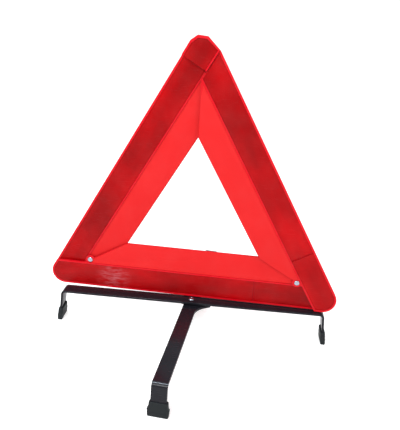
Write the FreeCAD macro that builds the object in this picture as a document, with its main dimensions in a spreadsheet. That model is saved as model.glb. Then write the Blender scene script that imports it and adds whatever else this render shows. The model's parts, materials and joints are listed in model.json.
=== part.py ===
"""Folding warning triangle on a pair of crossed, bent steel legs.

Frame: millimetres, +Z up, +X to the right and +Y to the back, with the origin on the floor
under the upright rivet that joins the two legs.

Each arm of the triangle is drawn flat, with its outer edge along local X, its inside towards
local +Y and its front towards local +Z.  A corner of an arm is placed by two distances: how far
it is from the arm's own outer edge, and how far from the outer edge of the arm that it meets.
"""
import FreeCAD
import Part
import math
import os
import Sketcher

START = -1
FINISH = 1
ORIGIN_POINT = (-1, 1)

SIZES = {
    # the triangle
    "side": 470.0,            # outer side, measured to the sharp corners
    "band": 78.1,             # reflector and bright panel together
    "strip": 39.0,            # raised strip that holds the reflector
    "rim": 2.8,               # bright edging along the outer edge
    "rib": 36.9,              # inner side of the reflector's channel
    "channel_round": 17.2,
    "lens_outer": 2.95,
    "lens_inner": 36.75,
    "lens_round": 17.0,
    "arm_base": 2.2,
    "arm_thick": 4.2,
    "lens_thick": 1.8,
    "panel_thick": 0.9,
    "panel_outer": 39.3,
    "panel_inner": 77.5,
    "panel_turn": 50.0,
    "panel_mitre": 50.6,
    "panel_toe": 45.0,
    "corner_round": 20.0,
    "tail_round": 9.0,
    "edge_height": 52.4,      # lower edge of the triangle above the floor
    "front_plane": 6.8,       # front of the bottom arm, behind the leg rivet
    "pitch": 5.0,             # from one arm's plane to the next one's
    "lean": 0.43,             # the upper arms lean towards each other at the top
    # the hidden ends of the arms, behind a neighbour
    "band_lap": 64.1,
    "tail_in": 52.0,
    "tail_mid": 38.0,
    "tail_edge": 3.0,
    "tip_in": 16.0,
    "tip_edge": 10.0,
    "tail_back": 40.0,
    "open_end": 31.0,
    "channel_out": 28.0,
    "channel_capped": 36.0,
    "lens_under": 31.6,
    "panel_lap": 65.5,
    "panel_tail": 27.3,
    # the arm's end that carries the top cap
    "seam_near": 27.3,
    "seam_far": 45.3,
    "seam_edge": 3.0,
    "cap_line": 39.4,
    "lens_stop": 40.2,
    "cap_seam": 47.6,
    "cap_seam_in": 28.1,
    "cap_side_in": 17.0,
    "cap_side": 6.2,
    "cap_top_in": 4.7,
    "cap_top": 17.3,
    "cap_left": 29.0,
    "cap_base": 2.2,
    "cap_thick": 4.2,
    "cap_channel_side_in": 17.5,
    "cap_channel_side": 9.0,
    "cap_channel_top_in": 7.0,
    "cap_channel_top": 19.0,
    "cap_channel_left": 30.0,
    "cap_lens_side_in": 17.4,
    "cap_lens_side": 9.2,
    "cap_lens_top_in": 7.2,
    "cap_lens_top": 19.2,
    "cap_lens_left": 30.2,
    "cap_open": 32.0,
    "cap_open_far": 50.0,
    "cap_lens_seam_in": 29.2,
    "cap_lens_seam": 46.1,
    "right_joint": -123.0,    # where the right arm's two reflector pieces meet
    "bottom_joint": 97.0,
    "joint_gap": 0.4,
    # pivots of the two folding arms
    "pivot_in": 43.8,
    "ear_radius": 7.0,
    "pin_radius": 2.0,
    "moving_hole": 2.05,
    "fixed_hole": 2.2,
    "head_radius": 4.0,
    "head_height": 1.5,
    "head_crown": 2.4,
    "head_room": 5.0,
    "sunk_depth": 1.25,
    "sunk_head": 1.1,
    "spacer_radius": 4.6,
    "spacer_room": 5.2,
    "spacer_play": 0.05,
    # legs
    "leg_width": 20.8,
    "leg_thick": 3.4,
    "leg_top": 51.1,
    "leg_reach": 207.4,
    "cross_drop": 5.8,        # the lower leg's top below the upper leg's top
    "cross_reach": 199.4,
    "leg_splay": 6.0,
    "leg_end": 3.0,           # end of the steel above the floor, inside the foot
    "bend_outer": 7.0,
    "side_skew": 2.0,           # the upper leg is turned a little on its bracket
    "cross_skew": 3.5,
    "bend_inner": 3.6,
    "web_root": 5.0,
    "web_reach": 30.0,
    "web_tip": 1.5,
    "web_foot": 15.0,
    "web_long": 34.0,
    "web_round": 26.0,
    "dent_radius": 3.2,
    "dent_place": 14.0,
    "dent_height": 0.7,
    # feet
    "foot_height": 20.0,
    "foot_wall": 2.0,
    "foot_top_width": 24.4,
    "foot_flare_width": 29.0,
    "foot_flare_height": 9.5,
    "foot_base_width": 27.4,
    "foot_play": 0.1,
    # bracket and the leg rivet
    "hub_x": 3.2,             # the rivet stands right of the triangle's middle
    "bracket_half": 14.0,
    "bracket_thick": 1.5,
    "bracket_front": -9.0,
    "bracket_top": 62.0,
    "bracket_bend": 1.4,
    "drive_pin_height": 57.6,
    "drive_pin_apart": 9.0,
    "drive_pin": 1.25,
    "drive_pin_hole": 1.3,
    "drive_pin_depth": 1.9,
    "drive_hole_depth": 2.0,
    "drive_head": 2.2,
    "drive_head_height": 0.9,
    "leg_pin": 2.4,
    "leg_hole": 2.45,
    "leg_play": 0.1,
    "leg_head": 4.3,
    "leg_head_height": 2.2,
    "leg_head_crown": 2.2,
    "leg_washer": 7.0,
    "leg_washer_thick": 0.6,
}

doc = FreeCAD.newDocument("warning_triangle")
sheet = doc.addObject("Spreadsheet::Sheet", "Sizes")
for row, (size_name, size_value) in enumerate(SIZES.items(), start=1):
    sheet.set(f"A{row}", size_name)
    sheet.set(f"B{row}", str(size_value))
    sheet.setAlias(f"B{row}", size_name)
doc.recompute()

SIN_60 = math.sin(math.radians(60))
sub_parts = []


def size(name):
    """The value of one cell of the sheet."""
    return float(sheet.get(name))


def cell(name):
    """The same cell as an expression."""
    return f"Sizes.{name}"


# ---------------------------------------------------------------- drawing helpers


def plane(body, role):
    """One of a body's own origin planes."""
    return next(item for item in body.Origin.OriginFeatures if item.Role == role)


def new_body(name):
    """A new sub-part, whose Label names its file."""
    body = doc.addObject("PartDesign::Body", name)
    body.Label = name
    sub_parts.append(body)
    return body


def new_sketch(body, name, role="XY_Plane", height="0"):
    """A sketch on one of the body's planes, raised by an expression along its normal."""
    sketch = body.newObject("Sketcher::SketchObject", name)
    sketch.AttachmentSupport = [(plane(body, role), "")]
    sketch.MapMode = "FlatFace"
    sketch.setExpression("AttachmentOffset.Base.z", height)
    return sketch


def pin_point(sketch, geometry, end, point):
    """Tie one point of a sketch to the sheet, in X and in Y."""
    for kind, value, expression in (("DistanceX", point[0], point[2]), ("DistanceY", point[1], point[3])):
        index = sketch.addConstraint(Sketcher.Constraint(kind, *ORIGIN_POINT, geometry, end, value))
        sketch.setExpression(f"Constraints[{index}]", expression)


def draw_polygon(sketch, points):
    """Closed outline through points of (x, y, x expression, y expression).

    A point with two more items, a radius name and a centre, starts an arc to the next point.
    """
    first = sketch.GeometryCount
    count = len(points)
    for index in range(count):
        here = FreeCAD.Vector(*points[index][:2], 0)
        there = FreeCAD.Vector(*points[(index + 1) % count][:2], 0)
        if len(points[index]) == 4:
            sketch.addGeometry(Part.LineSegment(here, there), False)
        else:
            centre = FreeCAD.Vector(*points[index][5], 0)
            middle = (here + there) * 0.5 - centre
            middle = centre + middle.normalize() * size(points[index][4])
            sketch.addGeometry(Part.Arc(here, middle, there), False)
    for index in range(count):
        following = (index + 1) % count
        leaving = 1 if turns_left(points, following) else 2
        arriving = 2 if turns_left(points, index) else 1
        ends = (first + index, arriving, first + following, leaving)
        sketch.addConstraint(Sketcher.Constraint("Coincident", *ends))
        pin_point(sketch, first + following, leaving, points[following])
        if len(points[index]) > 4:
            radius = Sketcher.Constraint("Radius", first + index, size(points[index][4]))
            sketch.setExpression(f"Constraints[{sketch.addConstraint(radius)}]", cell(points[index][4]))


def turns_left(points, index):
    """True where the segment from this point is a line, or an arc that turns left."""
    if len(points[index]) == 4:
        return True
    here = FreeCAD.Vector(*points[index][:2], 0)
    there = FreeCAD.Vector(*points[(index + 1) % len(points)][:2], 0)
    centre = FreeCAD.Vector(*points[index][5], 0)
    return (here - centre).cross(there - centre).z > 0


def draw_circle(sketch, x, y, x_expression, y_expression, radius_name):
    """Circle with its centre and radius tied to the sheet."""
    circle = Part.Circle(FreeCAD.Vector(x, y, 0), FreeCAD.Vector(0, 0, 1), size(radius_name))
    geometry = sketch.addGeometry(circle, False)
    pin_point(sketch, geometry, 3, (x, y, x_expression, y_expression))
    index = sketch.addConstraint(Sketcher.Constraint("Radius", geometry, size(radius_name)))
    sketch.setExpression(f"Constraints[{index}]", cell(radius_name))


def corner(end, own, other):
    """Arm corner at one end: `own` from its own outer edge, `other` from its neighbour's."""
    x = end * (size("side") / 2 - (size(other) + size(own) / 2) / SIN_60)
    x_expression = f"{end} * ({cell('side')} / 2 - ({cell(other)} + {cell(own)} / 2) / sin(60))"
    return (x, size(own), x_expression, cell(own))


def outer_corner(end, other):
    """Arm corner on its own outer edge."""
    x = end * (size("side") / 2 - size(other) / SIN_60)
    return (x, 0.0, f"{end} * ({cell('side')} / 2 - {cell(other)} / sin(60))", "0")


def neighbour_corner(end, own):
    """Arm corner on its neighbour's outer edge."""
    x = end * (size("side") / 2 - size(own) / 2 / SIN_60)
    return (x, size(own), f"{end} * ({cell('side')} / 2 - {cell(own)} / 2 / sin(60))", cell(own))


def sharp_corner(end):
    """The triangle's own sharp corner."""
    return (end * size("side") / 2, 0.0, f"{end} * {cell('side')} / 2", "0")


def free_point(x_terms, y_terms):
    """Point from two sums, each a list of (factor, cell name)."""
    values = []
    expressions = []
    for terms in (x_terms, y_terms):
        values.append(sum(factor * size(name) for factor, name in terms))
        expressions.append(" + ".join(f"({factor}) * {cell(name)}" for factor, name in terms) or "0")
    return (values[0], values[1], expressions[0], expressions[1])


def pad(body, name, sketch, length, reverse=False, midplane=False):
    """Pad a sketch by an expression."""
    feature = body.newObject("PartDesign::Pad", name)
    feature.Profile = sketch
    feature.setExpression("Length", length)
    feature.Reversed = reverse
    feature.Midplane = midplane
    doc.recompute()
    return feature


def pocket(body, name, sketch, length, reverse=False):
    """Pocket a sketch by an expression, and make sure that it cuts."""
    before = body.Shape.Volume
    feature = body.newObject("PartDesign::Pocket", name)
    feature.Profile = sketch
    feature.setExpression("Length", length)
    feature.Reversed = reverse
    doc.recompute()
    if body.Shape.Volume >= before:
        raise RuntimeError(f"{body.Label}: {name} cuts nothing")
    return feature


def round_edges(body, name, radius_name, chosen):
    """Fillet the edges whose two ends both pass the test `chosen`."""
    base = body.Tip
    names = []
    for index, edge in enumerate(base.Shape.Edges, start=1):
        if len(edge.Vertexes) == 2 and all(chosen(vertex.Point) for vertex in edge.Vertexes):
            names.append(f"Edge{index}")
    if not names:
        raise RuntimeError(f"{body.Label}: {name} finds no edge")
    feature = body.newObject("PartDesign::Fillet", name)
    feature.Base = (base, names)
    feature.setExpression("Radius", cell(radius_name))
    doc.recompute()
    return feature


def at_corner(*corners):
    """Test for a point that stands over one of these corners."""
    return lambda point: any(math.hypot(point.x - c[0], point.y - c[1]) < 0.01 for c in corners)


# ---------------------------------------------------------------- the three arms

OVER_END = "over"        # lies in front of its neighbour, and is seen whole
UNDER_END = "under"      # lies behind its neighbour
CAPPED_END = "capped"    # lies under the top cap


def body_end(kind, end):
    """Outline of an arm's whole end, from the inner edge round to the outer edge."""
    if kind == OVER_END:
        names = [("band", "band"), ("strip", "strip")]
        return [corner(end, *pair) for pair in names] + [neighbour_corner(end, "strip"), sharp_corner(end)]
    if kind == UNDER_END:
        names = [("band", "band_lap"), ("tail_in", "tail_mid"), ("tail_in", "tail_edge"), ("tip_in", "tip_edge")]
        return [corner(end, *pair) for pair in names] + [outer_corner(end, "tail_back")]
    names = [("band", "band"), ("strip", "strip"), ("seam_near", "strip"), ("seam_far", "seam_edge")]
    names.append(("tip_in", "tip_edge"))
    return [corner(end, *pair) for pair in names] + [outer_corner(end, "tail_back")]


def strip_end(kind, end):
    """Outline of the raised strip's end."""
    if kind == OVER_END:
        return [neighbour_corner(end, "strip"), sharp_corner(end)]
    stop = "open_end" if kind == UNDER_END else "cap_line"
    return [corner(end, "strip", stop), outer_corner(end, stop)]


def channel_end(kind, end):
    """Outline of the reflector channel's end, which runs out of the strip under a neighbour."""
    if kind == OVER_END:
        return [corner(end, "rib", "rim"), corner(end, "rim", "rim")]
    stop = {UNDER_END: "channel_out", CAPPED_END: "channel_capped"}[kind]
    return [corner(end, "rib", stop), corner(end, "rim", stop)]


def outline(end_shape, start_kind, finish_kind):
    """Closed outline from the shapes of an arm's two ends."""
    return end_shape(finish_kind, FINISH) + list(reversed(end_shape(start_kind, START)))


def pivot_point(end):
    """Centre of the pivot at one end of an arm."""
    return corner(end, "pivot_in", "pivot_in")


def arm_body(name, start_kind, finish_kind, sunk_finish=False):
    """Moulded arm: flat plate, raised strip with a channel, and an ear at each pivot."""
    body = new_body(name)
    sketch = new_sketch(body, name + "_plate")
    draw_polygon(sketch, outline(body_end, start_kind, finish_kind))
    pad(body, name + "_plate_pad", sketch, cell("arm_base"))
    sketch = new_sketch(body, name + "_strip")
    draw_polygon(sketch, outline(strip_end, start_kind, finish_kind))
    pad(body, name + "_strip_pad", sketch, cell("arm_thick"))
    if start_kind == OVER_END:
        sketch = new_sketch(body, name + "_ear")
        draw_circle(sketch, *pivot_point(START), "ear_radius")
        pad(body, name + "_ear_pad", sketch, cell("arm_base"))
    if UNDER_END in (start_kind, finish_kind):
        ends = [end for end, kind in ((START, start_kind), (FINISH, finish_kind)) if kind == UNDER_END]
        tips = [corner(end, "tip_in", "tip_edge") for end in ends]
        round_edges(body, name + "_tail_round", "tail_round", at_corner(*tips))
    sketch = new_sketch(body, name + "_channel", height=cell("arm_base"))
    draw_polygon(sketch, outline(channel_end, start_kind, finish_kind))
    pocket(body, name + "_channel_cut", sketch, cell("arm_thick"), reverse=True)
    if start_kind == OVER_END:
        rim_corner = corner(START, "rim", "rim")
        round_edges(body, name + "_channel_round", "channel_round", at_corner(rim_corner))
        round_edges(body, name + "_round", "corner_round", at_corner(sharp_corner(START)))
    return body


def bore(body, name, end, radius_name, depth=None):
    """Hole through a pivot, or a sunk seat of `depth` in the back."""
    sketch = new_sketch(body, name)
    draw_circle(sketch, *pivot_point(end), radius_name)
    pocket(body, name + "_cut", sketch, depth or cell("arm_thick"), reverse=True)


def flat_piece(name, points, height, thickness):
    """Flat piece with a closed outline."""
    body = new_body(name)
    sketch = new_sketch(body, name + "_outline", height=height)
    draw_polygon(sketch, points)
    pad(body, name + "_pad", sketch, thickness)
    return body


def lens_end(kind, end):
    """Outline of a reflector's end."""
    if kind == OVER_END:
        return [corner(end, "lens_inner", "lens_outer"), corner(end, "lens_outer", "lens_outer")]
    stop = {UNDER_END: "lens_under", CAPPED_END: "lens_stop"}[kind]
    return [corner(end, "lens_inner", stop), corner(end, "lens_outer", stop)]


def lens_joint(joint, side):
    """Square end of a reflector at a joint; `side` is +1 on the joint's right."""
    across = [(1, joint), (side * 0.5, "joint_gap")]
    return [free_point(across, [(1, "lens_inner")]), free_point(across, [(1, "lens_outer")])]


def reflector(name, finish_points, start_points, rounded):
    """Reflector lens that lies in the channel of a strip."""
    points = finish_points + list(reversed(start_points))
    body = flat_piece(name, points, cell("arm_base"), cell("lens_thick"))
    if rounded:
        lens_corner = corner(START, "lens_outer", "lens_outer")
        round_edges(body, name + "_round", "lens_round", at_corner(lens_corner))
    return body


def panel_end(kind, end):
    """Outline of a bright panel's end: mitred in front, or lapped behind a neighbour."""
    if kind == UNDER_END:
        return [corner(end, "panel_inner", "panel_lap"), corner(end, "panel_outer", "panel_tail")]
    mitre = [corner(end, "panel_inner", "band"), corner(end, "panel_turn", "panel_mitre")]
    return mitre + [corner(end, "panel_outer", "panel_toe")]


def bright_panel(name, start_kind, finish_kind, notches):
    """Bright sheet between the strip and the triangle's opening, notched round each pivot."""
    points = outline(panel_end, start_kind, finish_kind)
    body = flat_piece(name, points, cell("arm_base"), cell("panel_thick"))
    for end, radius_name in notches:
        sketch = new_sketch(body, f"{name}_notch_{'start' if end == START else 'finish'}")
        draw_circle(sketch, *pivot_point(end), radius_name)
        pocket(body, sketch.Name + "_cut", sketch, cell("arm_thick"), reverse=True)
    return body


def place_arm(pieces, spin, planes_back, lean):
    """Stand flat-drawn pieces up in the triangle.

    `spin` turns them about the triangle's centre, `planes_back` counts planes behind the bottom
    arm, and `lean` tips them forwards about the level of the two lower pivots, in degrees.
    """
    centre = FreeCAD.Vector(0, size("side") / 2 / math.sqrt(3), 0)
    back = size("front_plane") + size("arm_thick") + planes_back * size("pitch")
    spun = FreeCAD.Placement(FreeCAD.Vector(), FreeCAD.Rotation(FreeCAD.Vector(0, 0, 1), spin), centre)
    stood = FreeCAD.Placement(
        FreeCAD.Vector(0, back, size("edge_height")), FreeCAD.Rotation(FreeCAD.Vector(1, 0, 0), 90))
    level = FreeCAD.Vector(0, back, size("edge_height") + size("pivot_in"))
    leant = FreeCAD.Placement(FreeCAD.Vector(), FreeCAD.Rotation(FreeCAD.Vector(1, 0, 0), lean), level)
    whole = leant.multiply(stood).multiply(spun)
    for piece in pieces:
        piece.Placement = whole
    return whole


# bottom arm
bottom_arm = arm_body("bottom_arm_body", OVER_END, UNDER_END)
bore(bottom_arm, "left_pivot_hole", START, "fixed_hole")
bore(bottom_arm, "right_pivot_hole", FINISH, "fixed_hole")
bore(bottom_arm, "right_pivot_seat", FINISH, "head_room", cell("sunk_depth"))
drive_holes = new_sketch(bottom_arm, "drive_pin_holes")
for side in (-1, 1):
    drive_place = free_point(
        [(1, "hub_x"), (side, "drive_pin_apart")], [(1, "drive_pin_height"), (-1, "edge_height")])
    draw_circle(drive_holes, *drive_place, "drive_pin_hole")
pocket(bottom_arm, "drive_pin_holes_cut", drive_holes, cell("drive_hole_depth"), reverse=True)
bottom_pieces = [
    bottom_arm,
    reflector("bottom_arm_reflector_long", lens_joint("bottom_joint", -1), lens_end(OVER_END, START), True),
    reflector("bottom_arm_reflector_short", lens_end(UNDER_END, FINISH), lens_joint("bottom_joint", 1), False),
    bright_panel("bottom_arm_panel", OVER_END, UNDER_END, [(START, "head_room"), (FINISH, "spacer_room")]),
]
place_arm(bottom_pieces, 0, 0, 0)

# right arm, in front of the bottom arm
right_arm = arm_body("right_arm_body", OVER_END, CAPPED_END)
bore(right_arm, "right_arm_pivot_hole", START, "moving_hole")
right_pieces = [
    right_arm,
    reflector("right_arm_reflector_short", lens_joint("right_joint", -1), lens_end(OVER_END, START), True),
    reflector("right_arm_reflector_long", lens_end(CAPPED_END, FINISH), lens_joint("right_joint", 1), False),
    bright_panel("right_arm_panel", OVER_END, CAPPED_END, [(START, "head_room")]),
]
right_place = place_arm(right_pieces, 120, -1, -size("lean"))

# left arm, behind the bottom arm
left_arm = arm_body("left_arm_body", UNDER_END, UNDER_END)
bore(left_arm, "left_arm_pivot_hole", FINISH, "moving_hole")
left_pieces = [
    left_arm,
    reflector("left_arm_reflector", lens_end(UNDER_END, FINISH), lens_end(UNDER_END, START), False),
    bright_panel("left_arm_panel", UNDER_END, UNDER_END, [(FINISH, "spacer_room")]),
]
left_place = place_arm(left_pieces, 240, 1, size("lean"))

# top cap: it rides on the right arm and carries the left strip on over that arm's end
cap_outline = [corner(START, "strip", "cap_seam_in"), neighbour_corner(START, "strip")]
cap_outline += [corner(START, "cap_side_in", "cap_side"), corner(START, "cap_top_in", "cap_top")]
cap_outline += [outer_corner(START, "cap_left"), outer_corner(START, "cap_seam")]
top_cap = flat_piece("top_cap", cap_outline, cell("cap_base"), cell("cap_thick"))
cap_channel = [corner(START, "rib", "cap_open"), corner(START, "rib", "rim")]
cap_channel += [corner(START, "cap_channel_side_in", "cap_channel_side")]
cap_channel += [corner(START, "cap_channel_top_in", "cap_channel_top")]
cap_channel += [corner(START, "rim", "cap_channel_left"), corner(START, "rim", "cap_open_far")]
channel_sketch = new_sketch(top_cap, "top_cap_channel", height=f"{cell('cap_base')} + {cell('arm_base')}")
draw_polygon(channel_sketch, cap_channel)
pocket(top_cap, "top_cap_channel_cut", channel_sketch, cell("cap_thick"), reverse=True)
cap_lens = [corner(START, "lens_inner", "cap_lens_seam_in"), corner(START, "lens_inner", "lens_outer")]
cap_lens += [corner(START, "cap_lens_side_in", "cap_lens_side")]
cap_lens += [corner(START, "cap_lens_top_in", "cap_lens_top")]
cap_lens += [corner(START, "lens_outer", "cap_lens_left"), corner(START, "lens_outer", "cap_lens_seam")]
top_reflector = flat_piece(
    "top_cap_reflector", cap_lens, f"{cell('cap_base')} + {cell('arm_base')}", cell("lens_thick"))
place_arm([top_cap, top_reflector], 240, -1, -size("lean"))


# ---------------------------------------------------------------- pivots


def turned_piece(name, points):
    """Solid turned about local Z, from half outlines of (radius terms, height terms)."""
    body = new_body(name)
    sketch = new_sketch(body, name + "_half", "XZ_Plane")
    draw_polygon(sketch, [free_point(*point) for point in points])
    feature = body.newObject("PartDesign::Revolution", name + "_turn")
    feature.Profile = sketch
    feature.ReferenceAxis = (sketch, ["V_Axis"])
    feature.Angle = 360
    doc.recompute()
    return body


def rivet(name, pin, low, high, low_head, high_head):
    """Rivet with a head at each end; `low` and `high` are the two seats' height terms."""
    low_radius, low_tall = low_head
    high_radius, high_tall, crown = high_head
    return turned_piece(name, [
        ([], low + [(-1, low_tall)]),
        ([(1, low_radius)], low + [(-1, low_tall)]),
        ([(1, low_radius)], low),
        ([(1, pin)], low),
        ([(1, pin)], high),
        ([(1, high_radius)], high),
        ([(1, high_radius)], high + [(0.4, high_tall)]),
        ([(1, crown)], high + [(1, high_tall)]),
        ([], high + [(1, high_tall)]),
    ])


def spacer(name, low, high):
    """Washer between two arms, round a pivot rivet."""
    return turned_piece(name, [
        ([(1, "fixed_hole")], low),
        ([(1, "spacer_radius")], low),
        ([(1, "spacer_radius")], high),
        ([(1, "fixed_hole")], high),
    ])


def at_pivot(arm_place, end):
    """Placement of a piece turned about an arm's pivot."""
    x, y = pivot_point(end)[:2]
    return arm_place.multiply(FreeCAD.Placement(FreeCAD.Vector(x, y, 0), FreeCAD.Rotation()))


left_rivet = rivet(
    "left_pivot_rivet", "pin_radius", [(-1, "spacer_play")],
    [(1, "pitch"), (1, "arm_base"), (1, "spacer_play")],
    ("head_radius", "head_height"), ("head_radius", "head_height", "head_crown"))
left_rivet.Placement = at_pivot(left_place, FINISH)
left_spacer = spacer(
    "left_pivot_spacer", [(1, "arm_base"), (1, "spacer_play")], [(1, "pitch"), (-1, "spacer_play")])
left_spacer.Placement = at_pivot(left_place, FINISH)
right_rivet = rivet(
    "right_pivot_rivet", "pin_radius", [(-1, "pitch"), (1, "sunk_depth"), (-1, "spacer_play")],
    [(1, "arm_base"), (1, "spacer_play")],
    ("head_radius", "sunk_head"), ("head_radius", "head_height", "head_crown"))
right_rivet.Placement = at_pivot(right_place, START)
right_spacer = spacer(
    "right_pivot_spacer", [(-1, "pitch"), (1, "arm_base"), (1, "spacer_play")], [(-1, "spacer_play")])
right_spacer.Placement = at_pivot(right_place, START)

# ---------------------------------------------------------------- legs


def leg_face(reach, splay_height, sign, inset):
    """Point on the outer face of a splayed leg end, or `inset` leg thicknesses inside it."""
    slope = math.radians(size("leg_splay"))
    height = sum(factor * size(name) for factor, name in splay_height)
    height_text = " + ".join(f"({factor}) * {cell(name)}" for factor, name in splay_height)
    x = sign * (size(reach) - height * math.tan(slope) - inset * size("leg_thick") / math.cos(slope))
    x_text = (f"{sign} * ({cell(reach)} - ({height_text}) * tan({cell('leg_splay')})"
              f" - {inset} * {cell('leg_thick')} / cos({cell('leg_splay')}))")
    return (x, height, x_text, height_text)


def leg_bend(reach, height_terms, sign, inset, radius_name):
    """Two ends of a bend: on the splayed end, then on the level run."""
    turn = math.radians(45 - size("leg_splay") / 2)
    slope = math.radians(size("leg_splay"))
    sharp = leg_face(reach, height_terms, sign, inset)
    run = size(radius_name) * math.tan(turn)
    run_text = f"{cell(radius_name)} * tan(45 - {cell('leg_splay')} / 2)"
    centre = (sharp[0] - sign * run, sharp[1] - size(radius_name))
    arc = (radius_name, centre)
    splayed = (
        sharp[0] + sign * run * math.sin(slope), sharp[1] - run * math.cos(slope),
        f"{sharp[2]} + {sign} * {run_text} * sin({cell('leg_splay')})",
        f"{sharp[3]} - {run_text} * cos({cell('leg_splay')})")
    level = (sharp[0] - sign * run, sharp[1], f"{sharp[2]} - {sign} * {run_text}", sharp[3])
    return [splayed + arc, level], [level + arc, splayed]


def bent_leg(name, reach, top):
    """Steel strip bent down at both ends; `top` gives its top's height terms."""
    body = new_body(name)
    sketch = new_sketch(body, name + "_side", "XZ_Plane")
    under = top + [(-1, "leg_thick")]
    end = [(1, "leg_end")]
    points = [leg_face(reach, end, -1, 0)] + leg_bend(reach, top, -1, 0, "bend_outer")[0]
    points += leg_bend(reach, top, 1, 0, "bend_outer")[1] + [leg_face(reach, end, 1, 0)]
    points += [leg_face(reach, end, 1, 1)] + leg_bend(reach, under, 1, 1, "bend_inner")[0]
    points += leg_bend(reach, under, -1, 1, "bend_inner")[1] + [leg_face(reach, end, -1, 1)]
    draw_polygon(sketch, points)
    pad(body, name + "_strip", sketch, cell("leg_width"), midplane=True)
    hole = new_sketch(body, name + "_hole")
    draw_circle(hole, 0, 0, "0", "0", "leg_hole")
    pocket(body, name + "_hole_cut", hole, cell("leg_top") + " * 2", reverse=True)
    return body


side_leg = bent_leg("leg_side_to_side", "leg_reach", [(1, "leg_top")])
cross_top = [(1, "leg_top"), (-1, "cross_drop")]
cross_leg = bent_leg("leg_front_to_back", "cross_reach", cross_top)
CROSS_LOW = f"{cell('leg_top')} - {cell('cross_drop')} - {cell('leg_thick')}"
for sign, label in ((1, "front"), (-1, "rear")):
    web = new_sketch(cross_leg, label + "_web", height=CROSS_LOW)
    root = (sign, "web_root")
    reach = (sign, "web_reach")
    edge = (sign * 0.5, "leg_width")
    tip = (sign, "web_tip")
    web_points = [([(-sign, "web_tip")], [root]), ([(-sign, "web_tip")], [reach]), ([tip], [reach])]
    web_points += [([(sign, "web_foot")], [edge]), ([(sign, "web_long")], [edge]), ([(sign, "web_long")], [root])]
    draw_polygon(web, [free_point(*point) for point in web_points])
    pad(cross_leg, label + "_web_pad", web, cell("leg_thick"))
    bend_at = (sign * size("web_foot"), sign * size("leg_width") / 2)
    round_edges(cross_leg, label + "_web_round", "web_round", at_corner(bend_at))
dent = new_sketch(cross_leg, "stop_dent", height=f"{cell('leg_top')} - {cell('cross_drop')}")
draw_circle(dent, size("dent_place"), 0, cell("dent_place"), "0", "dent_radius")
pad(cross_leg, "stop_dent_pad", dent, cell("dent_height"))
FRONT_ANGLE = -90 - size("cross_skew")


def at_hub(angle=0):
    """Placement of a piece drawn about the leg rivet, turned about it."""
    turn = FreeCAD.Rotation(FreeCAD.Vector(0, 0, 1), angle)
    return FreeCAD.Placement(FreeCAD.Vector(size("hub_x"), 0, 0), turn)


side_leg.Placement = at_hub(size("side_skew"))
cross_leg.Placement = at_hub(FRONT_ANGLE)


def foot_section(body, name, reach, height_terms, width_name, wall_name):
    """Rectangle across a splayed leg end at one height."""
    level = " + ".join(f"({factor}) * {cell(item)}" for factor, item in height_terms) or "0"
    sketch = new_sketch(body, name, height=level)
    terms = height_terms or [(0, "leg_end")]
    outer = leg_face(reach, terms, 1, 0)
    inner = leg_face(reach, terms, 1, 1)
    wall = size(wall_name)
    half = size(width_name) / 2 + (wall if width_name == "leg_width" else 0)
    half_text = f"{cell(width_name)} / 2" + (f" + {cell(wall_name)}" if width_name == "leg_width" else "")
    corners = []
    for face, away in ((outer, 1), (inner, -1)):
        for across in ((-1, 1) if away == 1 else (1, -1)):
            x_text = f"{face[2]} + {away} * {cell(wall_name)}"
            corners.append((face[0] + away * wall, across * half, x_text, f"{across} * ({half_text})"))
    draw_polygon(sketch, corners)
    return sketch


def loft(body, kind, name, sections):
    """Straight-sided loft through sections, added or taken away."""
    feature = body.newObject(kind, name)
    feature.Profile = sections[0]
    feature.Sections = sections[1:]
    feature.Ruled = True
    doc.recompute()
    return feature


def foot(name, reach, angle):
    """Moulded cap on a leg's end: it flares to its widest part and has a slot for the steel."""
    body = new_body(name)
    levels = [([], "foot_base_width"), ([(1, "foot_flare_height")], "foot_flare_width")]
    levels.append(([(1, "foot_height")], "foot_top_width"))
    sections = [
        foot_section(body, f"{name}_section_{index}", reach, terms, width, "foot_wall")
        for index, (terms, width) in enumerate(levels)]
    loft(body, "PartDesign::AdditiveLoft", name + "_block", sections)
    slots = [
        foot_section(body, f"{name}_slot_{index}", reach, terms, "leg_width", "foot_play")
        for index, terms in enumerate(([(1, "leg_end")], [(1, "foot_height")]))]
    loft(body, "PartDesign::SubtractiveLoft", name + "_slot", slots)
    body.Placement = at_hub(angle)


foot("foot_right", "leg_reach", size("side_skew"))
foot("foot_left", "leg_reach", 180 + size("side_skew"))
foot("foot_front", "cross_reach", FRONT_ANGLE)
foot("foot_rear", "cross_reach", FRONT_ANGLE + 180)

# ---------------------------------------------------------------- bracket and leg rivet

bracket = new_body("leg_bracket")
profile = new_sketch(bracket, "leg_bracket_side", "YZ_Plane")
web_face = [(1, "front_plane"), (1, "arm_thick")]
web_back = web_face + [(1, "bracket_thick")]
flange_top = [(1, "leg_top"), (-1, "leg_thick")]
flange_low = flange_top + [(-1, "bracket_thick")]
bracket_points = [([(1, "bracket_front")], flange_low), (web_back, flange_low)]
bracket_points += [(web_back, [(1, "bracket_top")]), (web_face, [(1, "bracket_top")])]
bracket_points += [(web_face, flange_top), ([(1, "bracket_front")], flange_top)]
draw_polygon(profile, [free_point(*point) for point in bracket_points])
pad(bracket, "leg_bracket_pad", profile, f"{cell('bracket_half')} * 2", midplane=True)
bend = free_point(web_back, flange_low)
round_edges(
    bracket, "leg_bracket_bend", "bracket_bend",
    lambda point: math.hypot(point.y - bend[0], point.z - bend[1]) < 0.01)
leg_pin_hole = new_sketch(bracket, "leg_pin_hole")
draw_circle(leg_pin_hole, 0, 0, "0", "0", "leg_hole")
pocket(bracket, "leg_pin_hole_cut", leg_pin_hole, cell("leg_top"), reverse=True)
pin_holes = new_sketch(bracket, "bracket_pin_holes", "XZ_Plane")
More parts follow.
